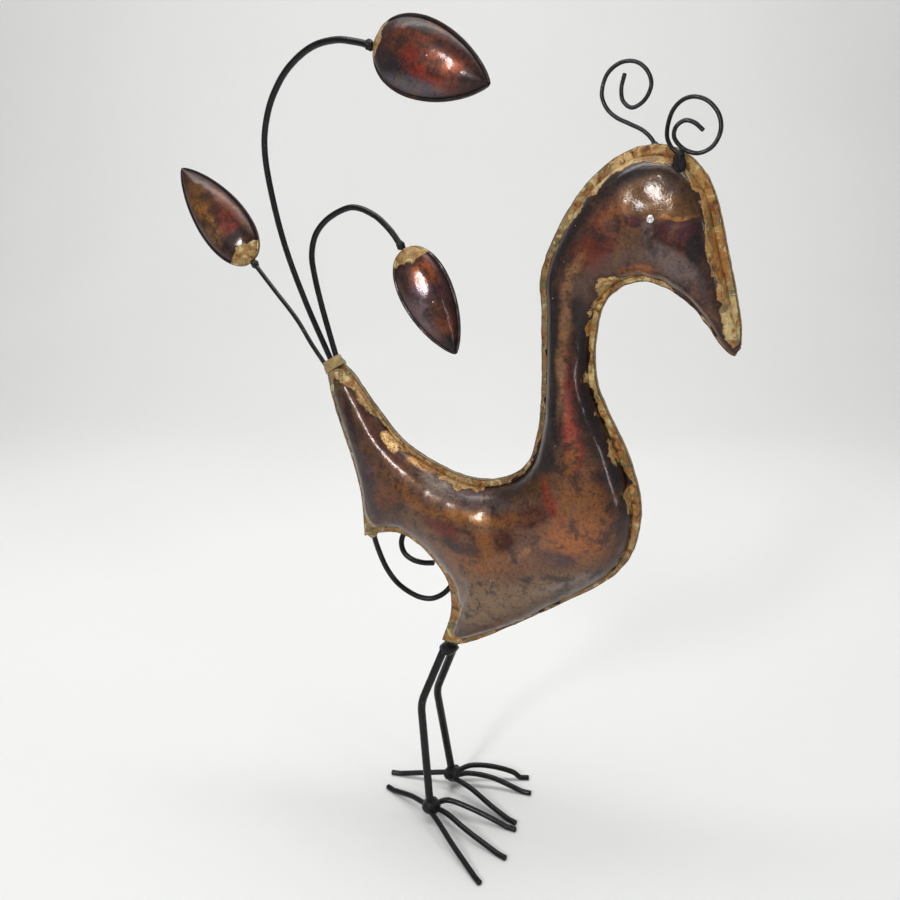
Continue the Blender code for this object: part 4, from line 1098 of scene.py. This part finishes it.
cap = bmesh.new()
bmesh.ops.create_cube(cap, size=1.0)
bmesh.ops.subdivide_edges(cap, edges=cap.edges, cuts=15, use_grid_fill=True)
for vertex in cap.verts:
    point = vertex.co * 2.0
    rounder = Vector(
        (
            point.x * math.sqrt(max(0.0, 1 - point.y**2 / 2.6)),
            point.y * math.sqrt(max(0.0, 1 - point.x**2 / 2.6)),
            point.z * math.sqrt(max(0.0, 1 - (point.x**2 + point.y**2) / 9.0)),
        )
    )
    narrow = 1.0 - 0.08 * (rounder.z + 1.0)
    thin = 1.0 - 0.14 * (rounder.z + 1.0)
    spot = Vector((rounder.x * 3.0, rounder.y * 2.0, rounder.z * 1.2))
    fold = 0.5 * noise.noise(spot) + 0.3 * noise.noise(spot * 2.3)
    radial = 1.0 + 0.14 * fold
    half_width, half_depth, half_length = CAP_HALF
    around = (rounder.x * half_width * narrow * radial, rounder.y * half_depth * thin * radial)
    vertex.co = Vector((*around, rounder.z * half_length))
cap_axes = Matrix((tail_across, tail_along.cross(tail_across), tail_along)).transposed().to_4x4()
bmesh.ops.transform(cap, matrix=Matrix.Translation(cap_centre) @ cap_axes, verts=cap.verts)
cap_piece = add_mesh("brazed_tail_cap", cap, braze)
finish_piece(cap_piece, "stand", "braze", "tail_cap")

LEAF_TONES = {
    # x along the leaf, z across it.
    "tall": (
        (30, 0, 26, 16, 0, 0.8, (0.05, 0.018, 0.016)),
        (24, 6, 16, 6, 10, 0.8, (0.16, 0.05, 0.03)),
        (34, -3, 14, 7, -10, 0.8, (0.2, 0.035, 0.014)),
        (44, 1, 10, 6, 0, 0.8, (0.24, 0.08, 0.05)),
        (16, -8, 10, 6, 0, 0.7, (0.022, 0.014, 0.018)),
        (30, -12, 18, 4, 4, 0.7, (0.08, 0.07, 0.08)),
        (58, -1, 7, 4, 0, 0.6, (0.02, 0.01, 0.01)),
        (22, 14, 14, 3, -8, 0.6, (0.02, 0.012, 0.01)),
    ),
    "straight": (
        (36, 0, 28, 14, 0, 0.8, (0.09, 0.035, 0.02)),
        (44, 4, 18, 5, 4, 0.8, (0.27, 0.13, 0.05)),
        (28, -4, 12, 6, 0, 0.8, (0.11, 0.02, 0.012)),
        (17, 0, 4, 14, 0, 0.5, (0.018, 0.009, 0.008)),
        (60, 0, 12, 6, 0, 0.7, (0.12, 0.055, 0.02)),
        (30, 8, 10, 4, 0, 0.7, (0.2, 0.11, 0.06)),
    ),
    "short": (
        (32, 0, 26, 13, 0, 0.8, (0.07, 0.03, 0.025)),
        (20, 4, 13, 6, 0, 0.8, (0.32, 0.1, 0.035)),
        (30, 0, 6, 12, 0, 0.7, (0.06, 0.025, 0.035)),
        (38, -5, 14, 5, 0, 0.8, (0.13, 0.09, 0.1)),
        (46, 2, 10, 6, 0, 0.8, (0.14, 0.05, 0.03)),
        (60, 0, 8, 5, 0, 0.6, (0.015, 0.01, 0.01)),
    ),
}
LEAF_BASE = {"tall": 5.0, "straight": 10.0, "short": 9.0}
LEAF_TINT = (0.36, 0.23, 0.07)


def leaf_grid(length, width, base_gold):
    peak = 0.375**0.45 * 0.625**0.75
    grid_rows = []
    count = 64
    for index in range(count + 1):
        along = 0.006 + 0.984 * (1 - math.cos(math.pi * index / count)) / 2
        half = width / 2 * along**0.45 * (1 - along) ** 0.75 / peak
        bulge = LEAF_BULGE * math.sin(math.pi * along**0.8) ** 0.7
        upper = np.array((along * length, half))
        lower = np.array((along * length, -half))
        row = []
        for x, z, height, share, wide in sheet_points(upper, lower, bulge, LEAF_RIM, LEAF_RIM, 0.0, 4, 34):
            edge = min(share, 1.0 - share) * wide
            gold = base_gold - along * length - 0.12 * abs(z)
            dark = max(0.0, min(1.0, (4.5 - edge) / 3.0))
            row.append((x, z, height, gold, edge, 0.92 * dark, LEAF_TINT))
        grid_rows.append(row)
    return grid_rows


def leaf_frame(base, tip, roll):
    along = (Vector(tip) - Vector(base)).normalized()
    away = Vector((0.0, 1.0, 0.0))
    away = (away - along * away.dot(along)).normalized()
    away.rotate(Matrix.Rotation(math.radians(roll), 3, along))
    across = along.cross(away)
    matrix = Matrix((along, away, across)).transposed().to_4x4()
    matrix.translation = base
    return matrix


TAIL_WIRES = (
    (
        "straight",
        (6.4, 1.5, 3.4),
        THIN_WIRE,
        ((-11.9, 2.0, 13.0), (-25.2, 5.5, 28.2), (-43.6, 10.0, 44.4), (-61.0, 14.5, 59.6)),
        (-122.0, 22.8, 119.9),
        34.0,
        18.0,
        0.0,
    ),
    (
        "tall",
        (0.6, 0.0, 0.0),
        THICK_WIRE,
        (
            (-13.8, -4.0, 34.5),
            (-22.8, -10.0, 68.0),
            (-26.0, -17.0, 100.3),
            (-24.2, -23.0, 122.9),
            (-16.9, -28.0, 140.4),
            (-6.2, -32.0, 153.9),
            (6.1, -35.5, 163.1),
            (20.6, -38.5, 169.3),
            (35.7, -41.0, 170.8),
            (48.3, -43.0, 168.8),
            (57.0, -44.6, 166.5),
        ),
        (123.2, -48.0, 144.6),
        37.5,
        0.0,
        2.2,
    ),
    (
        "short",
        (-3.9, 0.0, 0.0),
        THICK_WIRE,
        (
            (-8.0, -1.0, 29.0),
            (-12.1, -2.0, 49.0),
            (-12.5, -3.0, 60.7),
            (-8.2, -4.0, 72.3),
            (2.0, -5.0, 81.4),
            (17.5, -6.0, 87.0),
            (31.7, -7.0, 83.2),
            (42.4, -8.0, 75.5),
            (50.0, -9.0, 67.0),
        ),
        (84.6, -9.5, 7.8),
        30.5,
        -16.0,
        1.6,
    ),
)
cap_top = cap_centre + tail_along * CAP_LENGTH / 2
for order, (label, seat, diameter, offsets, leaf_tip, leaf_width, roll, lift) in enumerate(TAIL_WIRES):
    across, sideways, down = seat
    surface = cap_top + tail_across * across + Vector((0.0, sideways, 0.0)) - tail_along * down
    root = surface - Vector(offsets[0]).normalized() * 2.4
    body = "feather_" + label
    knots = [root] + [surface + Vector(offset) for offset in offsets]
    stem = tube(label + "_tail_stem", through(knots, 8), diameter, black, 1.2, 20, order * 9.0, 0.02)
    finish_piece(stem, body, "black_wire", "tail_wire_" + label)
    direction = (surface + Vector(leaf_tip) - knots[-1]).normalized()
    base = knots[-1] + direction * 3.3
    tip = surface + Vector(leaf_tip)
    base = base + leaf_frame(base, tip, roll).col[2].xyz * lift
    matrix = leaf_frame(base, tip, roll)
    steel = flame_steel(label + "_leaf_steel", LEAF_TONES[label], wander=0.6, base=(0.05, 0.02, 0.015))
    cells = leaf_grid((tip - base).length, leaf_width, LEAF_BASE[label])
    for side, half in ((-1, "front"), (1, "back")):
        name = label + "_leaf_" + half + "_half"
        piece = sheet_piece(name, cells, side, 0.15, LEAF_SHEET, steel, matrix, order * 13.0 + side)
        finish_piece(piece, body, "leaf_steel", "leaf_" + label + "_" + half)
    bead_place = knots[-1] + direction * 0.6
    bead = lump(label + "_leaf_weld_bead", bead_place, (2.6, 2.4, 2.6), weld_paint, 51.0 + order)
    finish_piece(bead, body, "black_wire", "leaf_" + label + "_weld")

# ---------------------------------------------------------------- floor, light and camera


def studio():
    tree = Tree("pale_paper")
    paper = tree.node("ShaderNodeTexCoord")
    grain = tree.noise(paper.outputs["Object"], 60.0, 4.0, 0.6)
    cloud = tree.noise(paper.outputs["Object"], 1.3, 2.0)
    shade = tree.mix(tree.ramp(cloud.outputs["Fac"], 0.3, 0.7), (0.8, 0.8, 0.79), (0.83, 0.83, 0.825))
    shade = tree.mix(tree.ramp(grain.outputs["Fac"], 0.3, 0.7, 0.0, 0.12), shade, (0.77, 0.77, 0.765))
    tree.surface(Base_Color=shade, Roughness=0.75, Specular_IOR_Level=0.2)
    shape = bmesh.new()
    rows = []
    profile = [(-3.0, 0.0), (1.0, 0.0)]
    for step in range(1, 13):
        angle = math.pi / 2 * step / 12
        profile.append((1.0 + 1.0 * math.sin(angle), 1.0 - math.cos(angle)))
    profile.append((2.0, 4.0))
    for run, up in profile:
        rows.append([shape.verts.new((side, run, up)) for side in (-5.0, 0.0, 5.0)])
    for row, after in zip(rows, rows[1:]):
        for column in range(2):
            shape.faces.new((row[column], row[column + 1], after[column + 1], after[column]))
    mesh = bpy.data.meshes.new("studio_sweep")
    bmesh.ops.recalc_face_normals(shape, faces=shape.faces)
    shape.to_mesh(mesh)
    shape.free()
    mesh.shade_smooth()
    mesh.materials.append(tree.material)
    sweep = bpy.data.objects.new("studio_sweep", mesh)
    bpy.context.scene.collection.objects.link(sweep)
    sweep.rotation_euler = (0.0, 0.0, math.radians(25.0))


studio()


def area_light(name, place, aim, size, power, tall=None):
    data = bpy.data.lights.new(name, "AREA")
    data.energy = power
    data.shape = "RECTANGLE"
    data.size = size
    data.size_y = tall or size
    obj = bpy.data.objects.new(name, data)
    obj.location = place
    obj.rotation_euler = (Vector(aim) - Vector(place)).to_track_quat("-Z", "Y").to_euler()
    bpy.context.scene.collection.objects.link(obj)
    return obj


middle = (Vector(cad_box[0]) + Vector(cad_box[1])) / 2
# The directions of the view: forward into it, sideways to its right, and over it.
forward = Vector((-0.4226, 0.9063, 0.0))
sideways = Vector((0.9063, 0.4226, 0.0))
over = Vector((0.0, 0.0, 1.0))
key_place = middle - forward * 0.95 - sideways * 0.52 + over * 0.46
area_light("key_light", key_place, middle, 0.15, 5.4, tall=0.24)
side_place = middle - forward * 0.92 + sideways * 0.78 + over * 0.2
area_light("side_light", side_place, middle, 0.1, 1.6, tall=0.45)
area_light("top_light", middle + forward * 0.05 + over * 1.15, middle, 1.1, 5.0)
back_place = middle + forward * 0.1 + over * 1.5
area_light("back_light", back_place, middle + forward * 1.9 + over * 0.35, 2.2, 27.0, tall=0.8)

world = bpy.data.worlds.new("soft_surround")
world.use_nodes = True
world.node_tree.nodes["Background"].inputs["Color"].default_value = (1.0, 1.0, 1.0, 1.0)
world.node_tree.nodes["Background"].inputs["Strength"].default_value = 0.27
bpy.context.scene.world = world
bpy.context.scene.view_settings.view_transform = "Standard"

CAMERA_LENS = 36.08
CAMERA_PLACE = (222.1, -463.5, 378.0)
CAMERA_TILT = math.radians(15.0)
camera_data = bpy.data.cameras.new("camera")
camera_data.sensor_width = 36.0
camera_data.lens = CAMERA_LENS
camera = bpy.data.objects.new("camera", camera_data)
camera.location = to_frame(CAMERA_PLACE)
look = forward * math.cos(CAMERA_TILT) - over * math.sin(CAMERA_TILT)
camera.rotation_euler = look.to_track_quat("-Z", "Y").to_euler()
bpy.context.scene.collection.objects.link(camera)
bpy.context.scene.camera = camera
